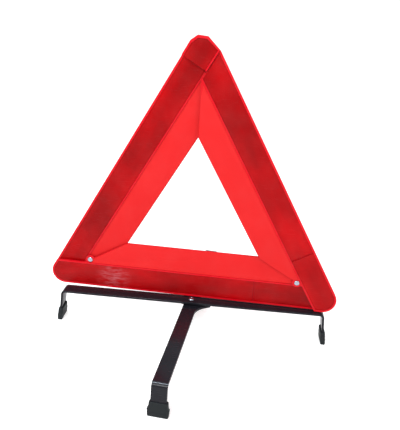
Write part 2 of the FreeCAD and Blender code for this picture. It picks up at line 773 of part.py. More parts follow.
for side in (-1, 1):
    place = free_point([(side, "drive_pin_apart")], [(1, "drive_pin_height")])
    draw_circle(pin_holes, *place, "drive_pin_hole")
pocket(bracket, "bracket_pin_holes_cut", pin_holes, cell("bracket_top"))
bracket.Placement = at_hub()

pin_solids = []
for side, label in ((-1, "left"), (1, "right")):
    stem = doc.addObject("Part::Cylinder", label + "_drive_stem")
    stem.setExpression("Radius", cell("drive_pin"))
    stem.setExpression("Height", f"{cell('bracket_thick')} + {cell('drive_pin_depth')}")
    head = doc.addObject("Part::Cylinder", label + "_drive_head")
    head.setExpression("Radius", cell("drive_head"))
    head.setExpression("Height", cell("drive_head_height"))
    head_back = size("front_plane") + size("arm_thick") + size("bracket_thick")
    seat = FreeCAD.Vector(size("hub_x") + side * size("drive_pin_apart"), head_back, size("drive_pin_height"))
    towards_front = FreeCAD.Rotation(FreeCAD.Vector(1, 0, 0), 90)
    stem.Placement = FreeCAD.Placement(seat, towards_front)
    head_seat = seat + FreeCAD.Vector(0, size("drive_head_height"), 0)
    head.Placement = FreeCAD.Placement(head_seat, towards_front)
    one_pin = doc.addObject("Part::MultiFuse", label + "_drive_pin")
    one_pin.Shapes = [stem, head]
    pin_solids.append(one_pin)
drive_pins = doc.addObject("Part::Compound", "bracket_drive_pins")
drive_pins.Label = "bracket_drive_pins"
drive_pins.Links = pin_solids
sub_parts.append(drive_pins)

cross_under = cross_top + [(-1, "leg_thick"), (-1, "leg_play")]
leg_rivet = rivet(
    "leg_rivet", "leg_pin", cross_under, [(1, "leg_top")],
    ("leg_head", "head_height"), ("leg_head", "leg_head_height", "leg_head_crown"))
leg_rivet.Placement = at_hub()
leg_washer = turned_piece("leg_washer", [
    ([(1, "leg_hole")], flange_low + [(-1, "leg_washer_thick")]),
    ([(1, "leg_washer")], flange_low + [(-1, "leg_washer_thick")]),
    ([(1, "leg_washer")], flange_low),
    ([(1, "leg_hole")], flange_low),
])
leg_washer.Placement = at_hub()

# ---------------------------------------------------------------- test and write

doc.recompute()
for item in doc.Objects:
    if any(word in item.State for word in ("Invalid", "Error")):
        raise RuntimeError(f"{item.Name} failed: {item.State}")
for part in sub_parts:
    if part.Shape.isNull() or not part.Shape.isValid():
        raise RuntimeError(f"{part.Label} has no valid shape")
os.makedirs("parts", exist_ok=True)
for part in sub_parts:
    part.Shape.exportStep(f"parts/{part.Label}.step")
    print(f"{part.Label:30s} {part.Shape.Volume / 1000:9.2f} cm3  solids {len(part.Shape.Solids)}")
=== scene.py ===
"""Dresses the folding warning triangle: arms, top cap, rivets, bent legs and feet.

Lengths are held in millimetres and turned into metres when a mesh is made.  An arm is worked out
flat: x runs along its outer edge, y towards the triangle's middle and z towards its front.
"""

import json
import logging
import math
from collections.abc import Callable
from dataclasses import dataclass, field
from enum import Enum

import bmesh
import bpy
import numpy as np
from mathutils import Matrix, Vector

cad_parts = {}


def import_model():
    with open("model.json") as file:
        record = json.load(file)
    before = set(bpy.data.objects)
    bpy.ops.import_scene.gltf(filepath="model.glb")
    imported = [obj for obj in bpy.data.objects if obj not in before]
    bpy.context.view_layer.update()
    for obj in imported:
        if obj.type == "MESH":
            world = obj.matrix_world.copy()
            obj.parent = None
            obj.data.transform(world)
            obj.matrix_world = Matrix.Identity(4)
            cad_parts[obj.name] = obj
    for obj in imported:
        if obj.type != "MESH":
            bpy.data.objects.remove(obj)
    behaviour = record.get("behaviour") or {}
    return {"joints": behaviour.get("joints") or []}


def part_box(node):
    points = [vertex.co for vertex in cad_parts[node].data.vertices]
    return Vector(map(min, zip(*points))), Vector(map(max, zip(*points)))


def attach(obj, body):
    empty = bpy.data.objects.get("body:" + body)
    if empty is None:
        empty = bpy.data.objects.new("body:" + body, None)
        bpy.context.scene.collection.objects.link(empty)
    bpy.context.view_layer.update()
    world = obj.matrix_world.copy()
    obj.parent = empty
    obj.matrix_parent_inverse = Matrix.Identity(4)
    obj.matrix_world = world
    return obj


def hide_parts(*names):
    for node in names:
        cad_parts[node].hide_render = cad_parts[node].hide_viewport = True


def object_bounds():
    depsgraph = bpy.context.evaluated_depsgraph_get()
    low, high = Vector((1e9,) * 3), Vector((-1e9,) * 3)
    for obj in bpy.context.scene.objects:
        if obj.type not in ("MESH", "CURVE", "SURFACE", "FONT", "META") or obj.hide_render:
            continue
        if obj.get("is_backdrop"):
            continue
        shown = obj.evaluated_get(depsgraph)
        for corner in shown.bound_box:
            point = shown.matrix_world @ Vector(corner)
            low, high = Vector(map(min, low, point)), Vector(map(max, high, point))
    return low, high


log = logging.getLogger("warning_triangle")

Colour = tuple[float, float, float, float]
Placing = Callable[[np.ndarray], np.ndarray]

MM = 0.001
SIN_60 = math.sin(math.radians(60))
START = -1
FINISH = 1
LEG_PLAY = 0.1
ARC_STEPS = 14
EDGE_STEPS = 4


class EndKind(Enum):
    """How an arm's end meets its neighbour."""

    OVER = "in front of the neighbour"
    UNDER = "behind the neighbour"
    CAPPED = "under the top cap"


# ------------------------------------------------------------------ surfaces


def arc_points(centre: tuple[float, float], radius: float, first: float, last: float,
               steps: int = ARC_STEPS) -> np.ndarray:
    """Points on a circle: centre + radius * (cos t, sin t), for t between two angles.

    Args:
        centre: Middle of the circle.
        radius: Its radius.
        first: First angle in degrees.
        last: Last angle in degrees.
        steps: Number of steps between them.

    Returns:
        Array of steps + 1 points.
    """
    turn = np.radians(np.linspace(first, last, steps + 1))
    return np.stack([centre[0] + radius * np.cos(turn), centre[1] + radius * np.sin(turn)], axis=1)


def rounded_corner(before: np.ndarray, corner: np.ndarray, after: np.ndarray, radius: float) -> np.ndarray:
    """Arc that touches both edges of a corner, from the first edge to the second.

    The centre lies on the corner's bisector, radius / sin(half angle) from it.

    Args:
        before: Previous corner.
        corner: Corner to round.
        after: Next corner.
        radius: Radius of the arc.

    Returns:
        Points along the arc.
    """
    to_before = (before - corner) / np.linalg.norm(before - corner)
    to_after = (after - corner) / np.linalg.norm(after - corner)
    half = math.acos(float(np.clip(to_before @ to_after, -1, 1))) / 2
    bisector = (to_before + to_after) / np.linalg.norm(to_before + to_after)
    centre = corner + bisector * radius / math.sin(half)
    touch = corner + to_before * radius / math.tan(half) - centre
    leave = corner + to_after * radius / math.tan(half) - centre
    first = math.degrees(math.atan2(touch[1], touch[0]))
    swing = math.degrees(math.atan2(leave[1], leave[0])) - first
    swing = (swing + 180) % 360 - 180
    return arc_points((centre[0], centre[1]), radius, first, first + swing)


def rounded_outline(points: list[tuple[float, float]], radii: dict[int, float]) -> np.ndarray:
    """Closed outline through corners, some of them rounded.

    Args:
        points: Corners in order.
        radii: Radius for each rounded corner, by its place in the list.

    Returns:
        Array of points.
    """
    corners = np.array(points, dtype=float)
    count = len(corners)
    runs = []
    for index, corner in enumerate(corners):
        if index in radii:
            following = corners[(index + 1) % count]
            runs.append(rounded_corner(corners[index - 1], corner, following, radii[index]))
        else:
            runs.append(corner[None])
    return np.concatenate(runs)


def inset(outline: np.ndarray, distance: float) -> np.ndarray:
    """Closed outline moved inwards: each point goes along the mean of its two edge normals,
    lengthened so that both edges move by the same distance.

    Args:
        outline: Closed outline, anticlockwise.
        distance: How far in.

    Returns:
        The moved outline.
    """
    edges = np.roll(outline, -1, axis=0) - outline
    edges = edges / np.maximum(np.linalg.norm(edges, axis=1, keepdims=True), 1e-9)
    normals = np.stack([-edges[:, 1], edges[:, 0]], axis=1)
    before = np.roll(normals, 1, axis=0)
    spread = 1 + np.sum(normals * before, axis=1, keepdims=True)
    return outline + (normals + before) / np.maximum(spread, 0.35) * distance


def anticlockwise(outline: np.ndarray) -> np.ndarray:
    """The outline, in the order that makes its area positive.

    The area is half the sum of x1 * y2 - x2 * y1 over neighbouring points.

    Args:
        outline: Closed outline, either way round.

    Returns:
        The outline, anticlockwise.
    """
    following = np.roll(outline, -1, axis=0)
    area = np.sum(outline[:, 0] * following[:, 1] - following[:, 0] * outline[:, 1])
    return outline if area > 0 else outline[::-1]


@dataclass
class Shell:
    """A closed surface: points in millimetres and its faces."""

    points: np.ndarray
    faces: list[tuple[int, ...]]


def grid_faces(rows: int, columns: int) -> list[tuple[int, ...]]:
    """Quads between neighbouring rows of a grid of points, whose rows are rings.

    Args:
        rows: Number of rows.
        columns: Points in each row.

    Returns:
        Faces as index tuples.
    """
    row = np.arange(rows - 1)[:, None] * columns
    column = np.arange(columns)[None, :]
    right = (column + 1) % columns
    quads = np.stack([row + column, row + right, row + columns + right, row + columns + column], axis=-1)
    return [tuple(quad) for quad in quads.reshape(-1, 4).tolist()]


def ringed_shell(rings: np.ndarray) -> Shell:
    """Closed shell through a stack of rings, with a flat face on the first and the last.

    Args:
        rings: Array of rings, points in a ring, and 3 coordinates.

    Returns:
        The shell.
    """
    count, width = rings.shape[:2]
    faces = grid_faces(count, width)
    faces.append(tuple(range(width - 1, -1, -1)))
    faces.append(tuple(range((count - 1) * width, count * width)))
    return Shell(rings.reshape(-1, 3), faces)


def plate_shell(outline: np.ndarray, low: float, high: float, edge: float) -> Shell:
    """Flat plate with rounded edges.  The ring at angle t of a rounded edge is the outline moved
    in by edge * (1 - cos t) and raised or lowered by edge * sin t.

    Args:
        outline: Closed outline.
        low: Height of the back face.
        high: Height of the front face.
        edge: Radius of the rounded edges.

    Returns:
        The shell.
    """
    outline = anticlockwise(outline)
    turn = np.linspace(0, math.pi / 2, EDGE_STEPS + 1)
    moved = np.concatenate([edge * (1 - np.cos(turn[::-1])), edge * (1 - np.cos(turn))])
    height = np.concatenate([low + edge - edge * np.sin(turn[::-1]), high - edge + edge * np.sin(turn)])
    rings = [np.column_stack([inset(outline, m), np.full(len(outline), z)]) for m, z in zip(moved, height)]
    return ringed_shell(np.array(rings))


def turned_shell(profile: list[tuple[float, float]], sides: int = 40) -> Shell:
    """Solid turned about z: each (radius, height) becomes a ring radius * (cos t, sin t), height.

    Args:
        profile: Points from the lower to the upper middle, leaving the axis out.
        sides: Points in each ring.

    Returns:
        The shell.
    """
    turn = np.linspace(0, 2 * math.pi, sides, endpoint=False)
    line = np.array(profile)
    rings = np.zeros((len(line), sides, 3))
    rings[:, :, 0] = line[:, :1] * np.cos(turn)
    rings[:, :, 1] = line[:, :1] * np.sin(turn)
    rings[:, :, 2] = line[:, 1:]
    return ringed_shell(rings)


def rounded_rectangle(width: float, depth: float, radius: float, steps: int = 4) -> np.ndarray:
    """Ring of a rectangle with round corners, anticlockwise about the origin.

    Args:
        width: Size along the first axis.
        depth: Size along the second axis.
        radius: Corner radius.
        steps: Steps in each corner.

    Returns:
        Array of points.
    """
    runs = []
    for quarter, (x, y) in enumerate(((1, 1), (-1, 1), (-1, -1), (1, -1))):
        centre = (x * (width / 2 - radius), y * (depth / 2 - radius))
        runs.append(arc_points(centre, radius, quarter * 90, quarter * 90 + 90, steps))
    return np.concatenate(runs)


def make_piece(name: str, shells: list[Shell], place: Placing,
               smooth_angle: float = 35.0) -> bpy.types.Object:
    """Mesh object from shells, moved to their place by `place`, which maps arrays of points.

    Args:
        name: Name of the piece.
        shells: Closed shells in millimetres.
        place: Function from flat-drawn points to points in the part's frame, in millimetres.
        smooth_angle: Edges sharper than this many degrees stay sharp.

    Returns:
        The object, which sits at the origin.
    """
    points = []
    faces = []
    offset = 0
    for shell in shells:
        points.append(place(shell.points))
        faces += [tuple(index + offset for index in face) for face in shell.faces]
        offset += len(shell.points)
    mesh = bpy.data.meshes.new(name)
    mesh.from_pydata((np.concatenate(points) * MM).tolist(), [], faces)
    work = bmesh.new()
    work.from_mesh(mesh)
    bmesh.ops.remove_doubles(work, verts=work.verts, dist=1e-6)
    bmesh.ops.recalc_face_normals(work, faces=work.faces)
    work.to_mesh(mesh)
    work.free()
    mesh.polygons.foreach_set("use_smooth", np.ones(len(mesh.polygons), dtype=bool))
    mesh.set_sharp_from_angle(angle=math.radians(smooth_angle))
    piece = bpy.data.objects.new(name, mesh)
    bpy.context.scene.collection.objects.link(piece)
    return piece


def settle(piece: bpy.types.Object, body: str, slot: str, material: bpy.types.Material, *nodes: str) -> None:
    """Give a piece its body, its material and the nodes that it stands for.

    Args:
        piece: The finished piece.
        body: Body that it rides on.
        slot: The record's material slot; not used.
        material: Its material.
        nodes: Nodes that it replaces.
    """
    piece.data.materials.append(material)
    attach(piece, body)
    if nodes:
        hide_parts(*nodes)
    log.info("%s: %d faces on %s", piece.name, len(piece.data.polygons), body)


# ------------------------------------------------------------------ finishes


class Nodes:
    """Short hand for building a node tree."""

    def __init__(self, tree: bpy.types.NodeTree) -> None:
        """Keep the tree."""
        self.tree = tree

    def add(self, kind: str, **values: object) -> bpy.types.Node:
        """Add a node and set its properties and inputs.

        Args:
            kind: Node type.
            values: Properties, or inputs whose names' spaces are written as underscores.

        Returns:
            The node.
        """
        node = self.tree.nodes.new(kind)
        for key, value in values.items():
            if hasattr(node, key):
                setattr(node, key, value)
            else:
                node.inputs[key.replace("_", " ")].default_value = value
        return node

    def link(self, source: bpy.types.NodeSocket, target: bpy.types.NodeSocket) -> None:
        """Join two sockets."""
        self.tree.links.new(source, target)

    def math(self, operation: str, first: object, second: object = None,
             third: object = None) -> bpy.types.NodeSocket:
        """One sum on sockets or numbers.

        Args:
            operation: Math node operation.
            first: Socket or number.
            second: Socket or number.
            third: Socket or number.

        Returns:
            The result's socket.
        """
        node = self.tree.nodes.new("ShaderNodeMath")
        node.operation = operation
        for index, value in enumerate((first, second, third)):
            if value is None:
                continue
            if isinstance(value, (int, float)):
                node.inputs[index].default_value = value
            else:
                self.link(value, node.inputs[index])
        return node.outputs[0]

    def mix(self, factor: object, first: object, second: object) -> bpy.types.NodeSocket:
        """Blend of two colours, each a socket or a value.

        Args:
            factor: Socket that says how much of the second.
            first: First colour.
            second: Second colour.

        Returns:
            The colour socket.
        """
        node = self.tree.nodes.new("ShaderNodeMix")
        node.data_type = "RGBA"
        for socket, value in ((node.inputs[0], factor), (node.inputs[6], first), (node.inputs[7], second)):
            if isinstance(value, bpy.types.NodeSocket):
                self.link(value, socket)
            else:
                socket.default_value = value
        return node.outputs[2]


def new_group(name: str, inputs: dict[str, float],
              outputs: list[str]) -> tuple[Nodes, bpy.types.Node, bpy.types.Node]:
    """Empty shader group with a vector input, number inputs and number outputs.

    Args:
        name: Name of the group.
        inputs: Number inputs and their defaults.
        outputs: Number outputs.

    Returns:
        The tree's short hand, its input node and its output node.
    """
    tree = bpy.data.node_groups.new(name, "ShaderNodeTree")
    tree.interface.new_socket("Position", in_out="INPUT", socket_type="NodeSocketVector")
    for label, value in inputs.items():
        socket = tree.interface.new_socket(label, in_out="INPUT", socket_type="NodeSocketFloat")
        socket.default_value = value
    for label in outputs:
        tree.interface.new_socket(label, in_out="OUTPUT", socket_type="NodeSocketFloat")
    nodes = Nodes(tree)
    return nodes, nodes.add("NodeGroupInput"), nodes.add("NodeGroupOutput")


def handling_group() -> bpy.types.NodeTree:
    """Handling marks: a dust mask that favours upward faces, fine scratches, and slow ripple.

    Returns:
        The group.
    """
    nodes, source, sink = new_group(
        "handling_marks", {"Dust": 0.3, "Scratches": 0.3}, ["Dust Mask", "Scratch Mask", "Ripple"])
    cloud = nodes.add("ShaderNodeTexNoise", Scale=38.0, Detail=5.0, Roughness=0.62)
    nodes.link(source.outputs["Position"], cloud.inputs["Vector"])
    geometry = nodes.add("ShaderNodeNewGeometry")
    split = nodes.add("ShaderNodeSeparateXYZ")
    nodes.link(geometry.outputs["Normal"], split.inputs[0])
    upward = nodes.math("MULTIPLY_ADD", split.outputs["Z"], 0.5, 0.5)
    spots = nodes.math("MULTIPLY", nodes.math("SUBTRACT", cloud.outputs["Fac"], 0.42), 3.0)
    dust = nodes.math("MULTIPLY", nodes.math("MULTIPLY", spots, upward), source.outputs["Dust"])
    nodes.link(nodes.math("MAXIMUM", nodes.math("MINIMUM", dust, 1.0), 0.0), sink.inputs["Dust Mask"])
    stretch = nodes.add("ShaderNodeMapping")
    stretch.inputs["Rotation"].default_value = (0.4, 0.9, 0.2)
    stretch.inputs["Scale"].default_value = (60.0, 700.0, 900.0)
    nodes.link(source.outputs["Position"], stretch.inputs["Vector"])
    streak = nodes.add("ShaderNodeTexNoise", Scale=1.0, Detail=2.0)
    nodes.link(stretch.outputs["Vector"], streak.inputs["Vector"])
    sharp = nodes.math("MULTIPLY", nodes.math("SUBTRACT", streak.outputs["Fac"], 0.64), 14.0)
    scratch = nodes.math("MULTIPLY", nodes.math("MINIMUM", nodes.math("MAXIMUM", sharp, 0.0), 1.0),
                         source.outputs["Scratches"])
    nodes.link(scratch, sink.inputs["Scratch Mask"])
    ripple = nodes.add("ShaderNodeTexNoise", Scale=14.0, Detail=1.0)
    nodes.link(source.outputs["Position"], ripple.inputs["Vector"])
    nodes.link(ripple.outputs["Fac"], sink.inputs["Ripple"])
    return nodes.tree


def prism_group() -> bpy.types.NodeTree:
    """Prism field of a reflector: three sets of V grooves at 60 degrees make its relief, and
    each block of prisms gets its own painted highlight, with a stretched cloud of painted highlights.

    Returns:
        The group.
    """
    nodes, source, sink = new_group(
        "prism_field", {"Pitch": 0.0026, "Block": 0.021}, ["Relief", "Block Highlight", "Cloud"])
    split = nodes.add("ShaderNodeSeparateXYZ")
    nodes.link(source.outputs["Position"], split.inputs[0])
    relief = None
    for angle in (0, 60, 120):
        cos = math.cos(math.radians(angle))
        sin = math.sin(math.radians(angle))
        upright = nodes.math("MULTIPLY", split.outputs["Z"], sin)
        along = nodes.math("MULTIPLY_ADD", split.outputs["X"], cos, upright)
        groove = nodes.math("PINGPONG", nodes.math("DIVIDE", along, source.outputs["Pitch"]), 0.5)
        relief = groove if relief is None else nodes.math("MINIMUM", relief, groove)
    nodes.link(relief, sink.inputs["Relief"])
    column = nodes.math("FLOOR", nodes.math("DIVIDE", split.outputs["X"], source.outputs["Block"]))
    row = nodes.math("FLOOR", nodes.math("DIVIDE", split.outputs["Z"], source.outputs["Block"]))
    cell = nodes.add("ShaderNodeCombineXYZ")
    nodes.link(column, cell.inputs["X"])
    nodes.link(row, cell.inputs["Y"])
    stretch = nodes.add("ShaderNodeMapping")
    stretch.inputs["Scale"].default_value = (9.0, 9.0, 22.0)
    nodes.link(source.outputs["Position"], stretch.inputs["Vector"])
    block_highlight_noise = nodes.add("ShaderNodeTexWhiteNoise", noise_dimensions="2D")
    nodes.link(cell.outputs[0], block_highlight_noise.inputs["Vector"])
    nodes.link(block_highlight_noise.outputs["Value"], sink.inputs["Block Highlight"])
    cloud = nodes.add("ShaderNodeTexNoise", Scale=1.0, Detail=3.0)
    nodes.link(stretch.outputs["Vector"], cloud.inputs["Vector"])
    nodes.link(cloud.outputs["Fac"], sink.inputs["Cloud"])
    return nodes.tree


def painted_sheen_group() -> bpy.types.NodeTree:
    """Painted sheen patch: a round mask that fades out from its middle, broken up by short streaks.

    Returns:
        The group.
    """
    nodes, source, sink = new_group("painted_sheen_patch", {"Radius": 0.02, "Strength": 0.5}, ["Scuff Mask"])
    nodes.tree.interface.new_socket("Middle", in_out="INPUT", socket_type="NodeSocketVector")
    away = nodes.add("ShaderNodeVectorMath", operation="DISTANCE")
    nodes.link(source.outputs["Position"], away.inputs[0])
    nodes.link(source.outputs["Middle"], away.inputs[1])
    near = nodes.math("SUBTRACT", 1.0, nodes.math("DIVIDE", away.outputs["Value"], source.outputs["Radius"]))
    slant = nodes.add("ShaderNodeMapping")
    slant.inputs["Rotation"].default_value = (0.0, 0.8, 0.0)
    slant.inputs["Scale"].default_value = (90.0, 90.0, 420.0)
    nodes.link(source.outputs["Position"], slant.inputs["Vector"])
    streak = nodes.add("ShaderNodeTexNoise", Scale=1.0, Detail=4.0)
    nodes.link(slant.outputs["Vector"], streak.inputs["Vector"])
    broken = nodes.math("MULTIPLY", nodes.math("SUBTRACT", streak.outputs["Fac"], 0.40), 4.0)
    mask = nodes.math("MULTIPLY", nodes.math("MAXIMUM", near, 0.0), nodes.math("MAXIMUM", broken, 0.0))
    mask = nodes.math("MINIMUM", nodes.math("MULTIPLY", mask, source.outputs["Strength"]), 0.6)
    nodes.link(mask, sink.inputs["Scuff Mask"])
    return nodes.tree


@dataclass(frozen=True)
class Finish:
    """A finish: its colours, its gloss, how much it has been handled, and a reflector's painted highlights
    and painted sheen patch.
    """

    name: str
    colour: Colour
    second: Colour
    roughness: float
    metallic: float = 0.0
    gloss: float = 0.5
    dust: float = 0.2
    scratches: float = 0.3
    dust_colour: Colour = (0.55, 0.5, 0.46, 1.0)
    grain_scale: float = 0.0
    grain_depth: float = 0.0
    prisms: bool = False
    # Painted sheen patch: its middle, its pale pink colour, its radius and its strength.
    sheen_patch: tuple[float, float, float] | None = None
    sheen_colour: Colour = (0.55, 0.16, 0.18, 1)
    sheen_radius: float = 0.030
    sheen_strength: float = 0.55
    highlight_block_contrast: float = 0.16
    highlight_cloud_contrast: float = 2.6
    highlight_cloud_offset: float = 0.93
    scratch_roughness: float = 0.35
    dust_roughness: float = 0.4
    ripple_depth: float = 0.15

    def shader(self) -> tuple[bpy.types.Material, Nodes, bpy.types.Node, bpy.types.NodeSocket]:
        """New material with its shader set up.

        Returns:
            The material, its tree's short hand, the shader node and the position socket.
        """
        material = bpy.data.materials.new(self.name)
        material.use_nodes = True
        nodes = Nodes(material.node_tree)
        shader = material.node_tree.nodes["Principled BSDF"]
        shader.inputs["Metallic"].default_value = self.metallic
        shader.inputs["Specular IOR Level"].default_value = self.gloss
        position = nodes.add("ShaderNodeTexCoord").outputs["Object"]
        return material, nodes, shader, position

    def build(self, handling: bpy.types.NodeTree, prisms: bpy.types.NodeTree, sheen_patches: bpy.types.NodeTree,
              turn: float = 0.0) -> bpy.types.Material:
        """Material of this finish.

        Args:
            handling: Group of handling marks.
            prisms: Group of the reflector's prisms.
            sheen_patches: Group of the painted sheen patch.
            turn: Degrees that a pattern is turned about Y, so that it follows an arm.

        Returns:
            The material.
        """
        material, nodes, shader, position = self.shader()
        marks = nodes.add("ShaderNodeGroup", node_tree=handling)
        marks.inputs["Dust"].default_value = self.dust
        marks.inputs["Scratches"].default_value = self.scratches
        nodes.link(position, marks.inputs["Position"])
        slow = marks.outputs["Ripple"]
        height = nodes.math("MULTIPLY", marks.outputs["Ripple"], self.ripple_depth)
        if self.prisms:
            turned = nodes.add("ShaderNodeMapping")
            turned.inputs["Rotation"].default_value = (0.0, math.radians(turn), 0.0)
            nodes.link(position, turned.inputs["Vector"])
            prism_marks = nodes.add("ShaderNodeGroup", node_tree=prisms)
            nodes.link(turned.outputs["Vector"], prism_marks.inputs["Position"])
            # Painted highlight mottling: a painted highlight for each prism block, plus a slow cloud of
            # painted highlights along the arm.
            block = nodes.math("MULTIPLY", prism_marks.outputs["Block Highlight"], self.highlight_block_contrast)
            offset = nodes.math("SUBTRACT", block, self.highlight_cloud_offset)
            slow = nodes.math("MULTIPLY_ADD", prism_marks.outputs["Cloud"], self.highlight_cloud_contrast, offset)
            height = prism_marks.outputs["Relief"]
        elif self.grain_scale > 0:
            grain = nodes.add("ShaderNodeTexNoise", Scale=self.grain_scale, Detail=3.0)
            nodes.link(position, grain.inputs["Vector"])
            height = nodes.math("ADD", height, nodes.math("MULTIPLY", grain.outputs["Fac"], self.grain_depth))
        slow = nodes.math("MINIMUM", nodes.math("MAXIMUM", slow, 0.0), 1.0)
        # Mix towards the second colour: a random ripple of colour, except on a reflector, where it is painted
        # highlight mottling.
        colour = nodes.mix(slow, self.colour, self.second)
        colour = nodes.mix(marks.outputs["Dust Mask"], colour, self.dust_colour)
        # Pale pink painted sheen patch, mixed into the colour round its middle.
        if self.sheen_patch is not None:
            patch = nodes.add("ShaderNodeGroup", node_tree=sheen_patches)
            patch.inputs["Radius"].default_value = self.sheen_radius
            patch.inputs["Strength"].default_value = self.sheen_strength
            patch.inputs["Middle"].default_value = self.sheen_patch
            nodes.link(position, patch.inputs["Position"])
            colour = nodes.mix(patch.outputs["Scuff Mask"], colour, self.sheen_colour)
        nodes.link(colour, shader.inputs["Base Color"])
        scratched = marks.outputs["Scratch Mask"]
        rough = nodes.math("MULTIPLY_ADD", scratched, self.scratch_roughness, self.roughness)
        rough = nodes.math("MULTIPLY_ADD", marks.outputs["Dust Mask"], self.dust_roughness, rough)
        nodes.link(rough, shader.inputs["Roughness"])
        bump = nodes.add("ShaderNodeBump", Strength=0.5 if self.prisms else 0.25)
        bump.inputs["Distance"].default_value = 0.0006 if self.prisms else 0.0002
        nodes.link(height, bump.inputs["Height"])
        nodes.link(bump.outputs["Normal"], shader.inputs["Normal"])
        return material


@dataclass
class Finishes:
    """Every finish of the triangle, as materials."""

    edging: Finish = Finish("edging_red", (0.56, 0.001, 0.007, 1), (0.68, 0.002, 0.011, 1), 0.36, gloss=0.16,
                            dust=0.03, scratches=0.35, grain_scale=900.0, grain_depth=0.3)
    # Reflector: its brighter second red is painted highlight mottling over the prism blocks, and a pale pink
    # painted sheen patch sits near the bottom arm's left end.
    lens: Finish = Finish("prism_red", (0.25, 0.0003, 0.0012, 1), (0.47, 0.001, 0.003, 1), 0.26, gloss=0.10,
                          dust=0.02, scratches=0.6, prisms=True, sheen_patch=(-0.122, 0.007, 0.072))
    bright: Finish = Finish("bright_red", (0.60, 0.010, 0.011, 1), (0.66, 0.014, 0.015, 1), 0.60, gloss=0.15,
                            dust=0.02, scratches=0.2, grain_scale=1500.0, grain_depth=0.5)
    enamel: Finish = Finish("black_enamel", (0.006, 0.006, 0.009, 1), (0.012, 0.011, 0.015, 1), 0.16,
                            gloss=0.20, dust=0.03, scratches=0.5, dust_colour=(0.12, 0.11, 0.11, 1),
                            grain_scale=420.0, grain_depth=0.4)
    foot: Finish = Finish("foot_grey", (0.005, 0.007, 0.008, 1), (0.010, 0.013, 0.014, 1), 0.50, gloss=0.22,
                          dust=0.10, scratches=0.3, dust_colour=(0.08, 0.08, 0.08, 1),
                          grain_scale=1300.0, grain_depth=1.2)
    rivet: Finish = Finish("rivet_zinc", (0.34, 0.38, 0.45, 1), (0.50, 0.54, 0.60, 1), 0.24, metallic=1.0,
                           dust=0.15, scratches=0.8, grain_scale=800.0, grain_depth=0.3)
    spacer: Finish = Finish("spacer_pale", (0.70, 0.69, 0.66, 1), (0.80, 0.79, 0.76, 1), 0.45,
                            dust=0.2, scratches=0.2, grain_scale=900.0, grain_depth=0.3)
    made: dict[str, bpy.types.Material] = field(default_factory=dict)

    def make(self) -> None:
        """Build the materials; the lens has one for each way an arm runs."""
        handling = handling_group()
        groups = (handling, prism_group(), painted_sheen_group())
        for name in ("edging", "bright", "enamel", "foot", "rivet", "spacer"):
            self.made[name] = getattr(self, name).build(*groups)
        for turn in (0, 60, 120):
            self.made[f"lens_{turn}"] = self.lens.build(*groups, float(turn))
        log.info("finishes: %s", ", ".join(sorted(self.made)))

    def __getitem__(self, name: str) -> bpy.types.Material:
        """Material by its short name."""
        return self.made[name]


# ------------------------------------------------------------------ arms


def arc_between(centre: np.ndarray, first: np.ndarray, last: np.ndarray,
                long_way: bool = False) -> np.ndarray:
    """Arc about a centre from one point to another, on the first point's radius.

    Args:
        centre: Middle of the arc.
        first: Where it begins.
        last: Where it ends.
        long_way: Whether it goes round by more than half a turn.

    Returns:
        Points along the arc.
    """
    begin = math.degrees(math.atan2(*(first - centre)[::-1]))
    swing = (math.degrees(math.atan2(*(last - centre)[::-1])) - begin + 180) % 360 - 180
    if long_way:
        swing -= math.copysign(360, swing)
    steps = max(6, int(abs(swing) / 8))
    radius = float(np.linalg.norm(first - centre))
    return arc_points((centre[0], centre[1]), radius, begin, begin + swing, steps)


def line_meets_circle(start: np.ndarray, end: np.ndarray, centre: np.ndarray, radius: float) -> np.ndarray:
    """First point of a line that lies on a circle: the foot of the perpendicular, less half a chord.

    Args:
        start: Where the line begins.
        end: A point that it goes through.
        centre: Middle of the circle.
        radius: Its radius.

    Returns:
        The meeting point nearest to the line's start.
    """
    along = (end - start) / np.linalg.norm(end - start)
    foot = (centre - start) @ along
    off = float(np.linalg.norm(start + along * foot - centre))
    return start + along * (foot - math.sqrt(radius ** 2 - off ** 2))


@dataclass
class ArmLayout:
    """Where an arm stands in the part's frame, and the distances that all arms share."""

    spin: float
    back: float
    lean: float
    side: float
    edge_height: float
    pivot_in: float

    def place(self, points: np.ndarray) -> np.ndarray:
        """Flat-drawn points turned about the triangle's middle, stood upright and leant.

        Standing up maps (x, y, z) to (x, back - z, edge_height + y), and the lean then turns that
        about the level of the pivots.

        Args:
            points: Points as drawn.

        Returns:
            Points in the part's frame.
        """
        middle = self.side / 2 / math.sqrt(3)
        spin = math.radians(self.spin)
        lean = math.radians(self.lean)
        x = points[:, 0]
        y = points[:, 1] - middle
        across = x * math.cos(spin) - y * math.sin(spin)
        rise = x * math.sin(spin) + y * math.cos(spin) + middle - self.pivot_in
        depth = -points[:, 2]
        return np.column_stack([
            across,
            self.back + depth * math.cos(lean) - rise * math.sin(lean),
            self.edge_height + self.pivot_in + depth * math.sin(lean) + rise * math.cos(lean)])

    def corner(self, end: int, own: float, other: float) -> np.ndarray:
        """Point that lies `own` from the arm's outer edge and `other` from its neighbour's."""
        return np.array([end * (self.side / 2 - (other + own / 2) / SIN_60), own])

    def pivot(self, end: int) -> np.ndarray:
        """Centre of the pivot at one end."""
        return self.corner(end, self.pivot_in, self.pivot_in)


@dataclass(frozen=True)
class Places:
    """Places that the frame gives, in millimetres, and the folding arms' lean in degrees."""

    left_back: float
    right_back: float
    bottom_back: float
    lean: float
    edge_height: float
    pivot_in: float
    side: float
    hub: float
    side_leg_top: float
    cross_leg_top: float
    washer_low: float
    washer_high: float

    def layout(self, spin: float, back: float, lean: float = 0.0) -> ArmLayout:
        """Layout of an arm that is turned by `spin` and has its back at `back`."""
        return ArmLayout(spin, back, lean, self.side, self.edge_height, self.pivot_in)


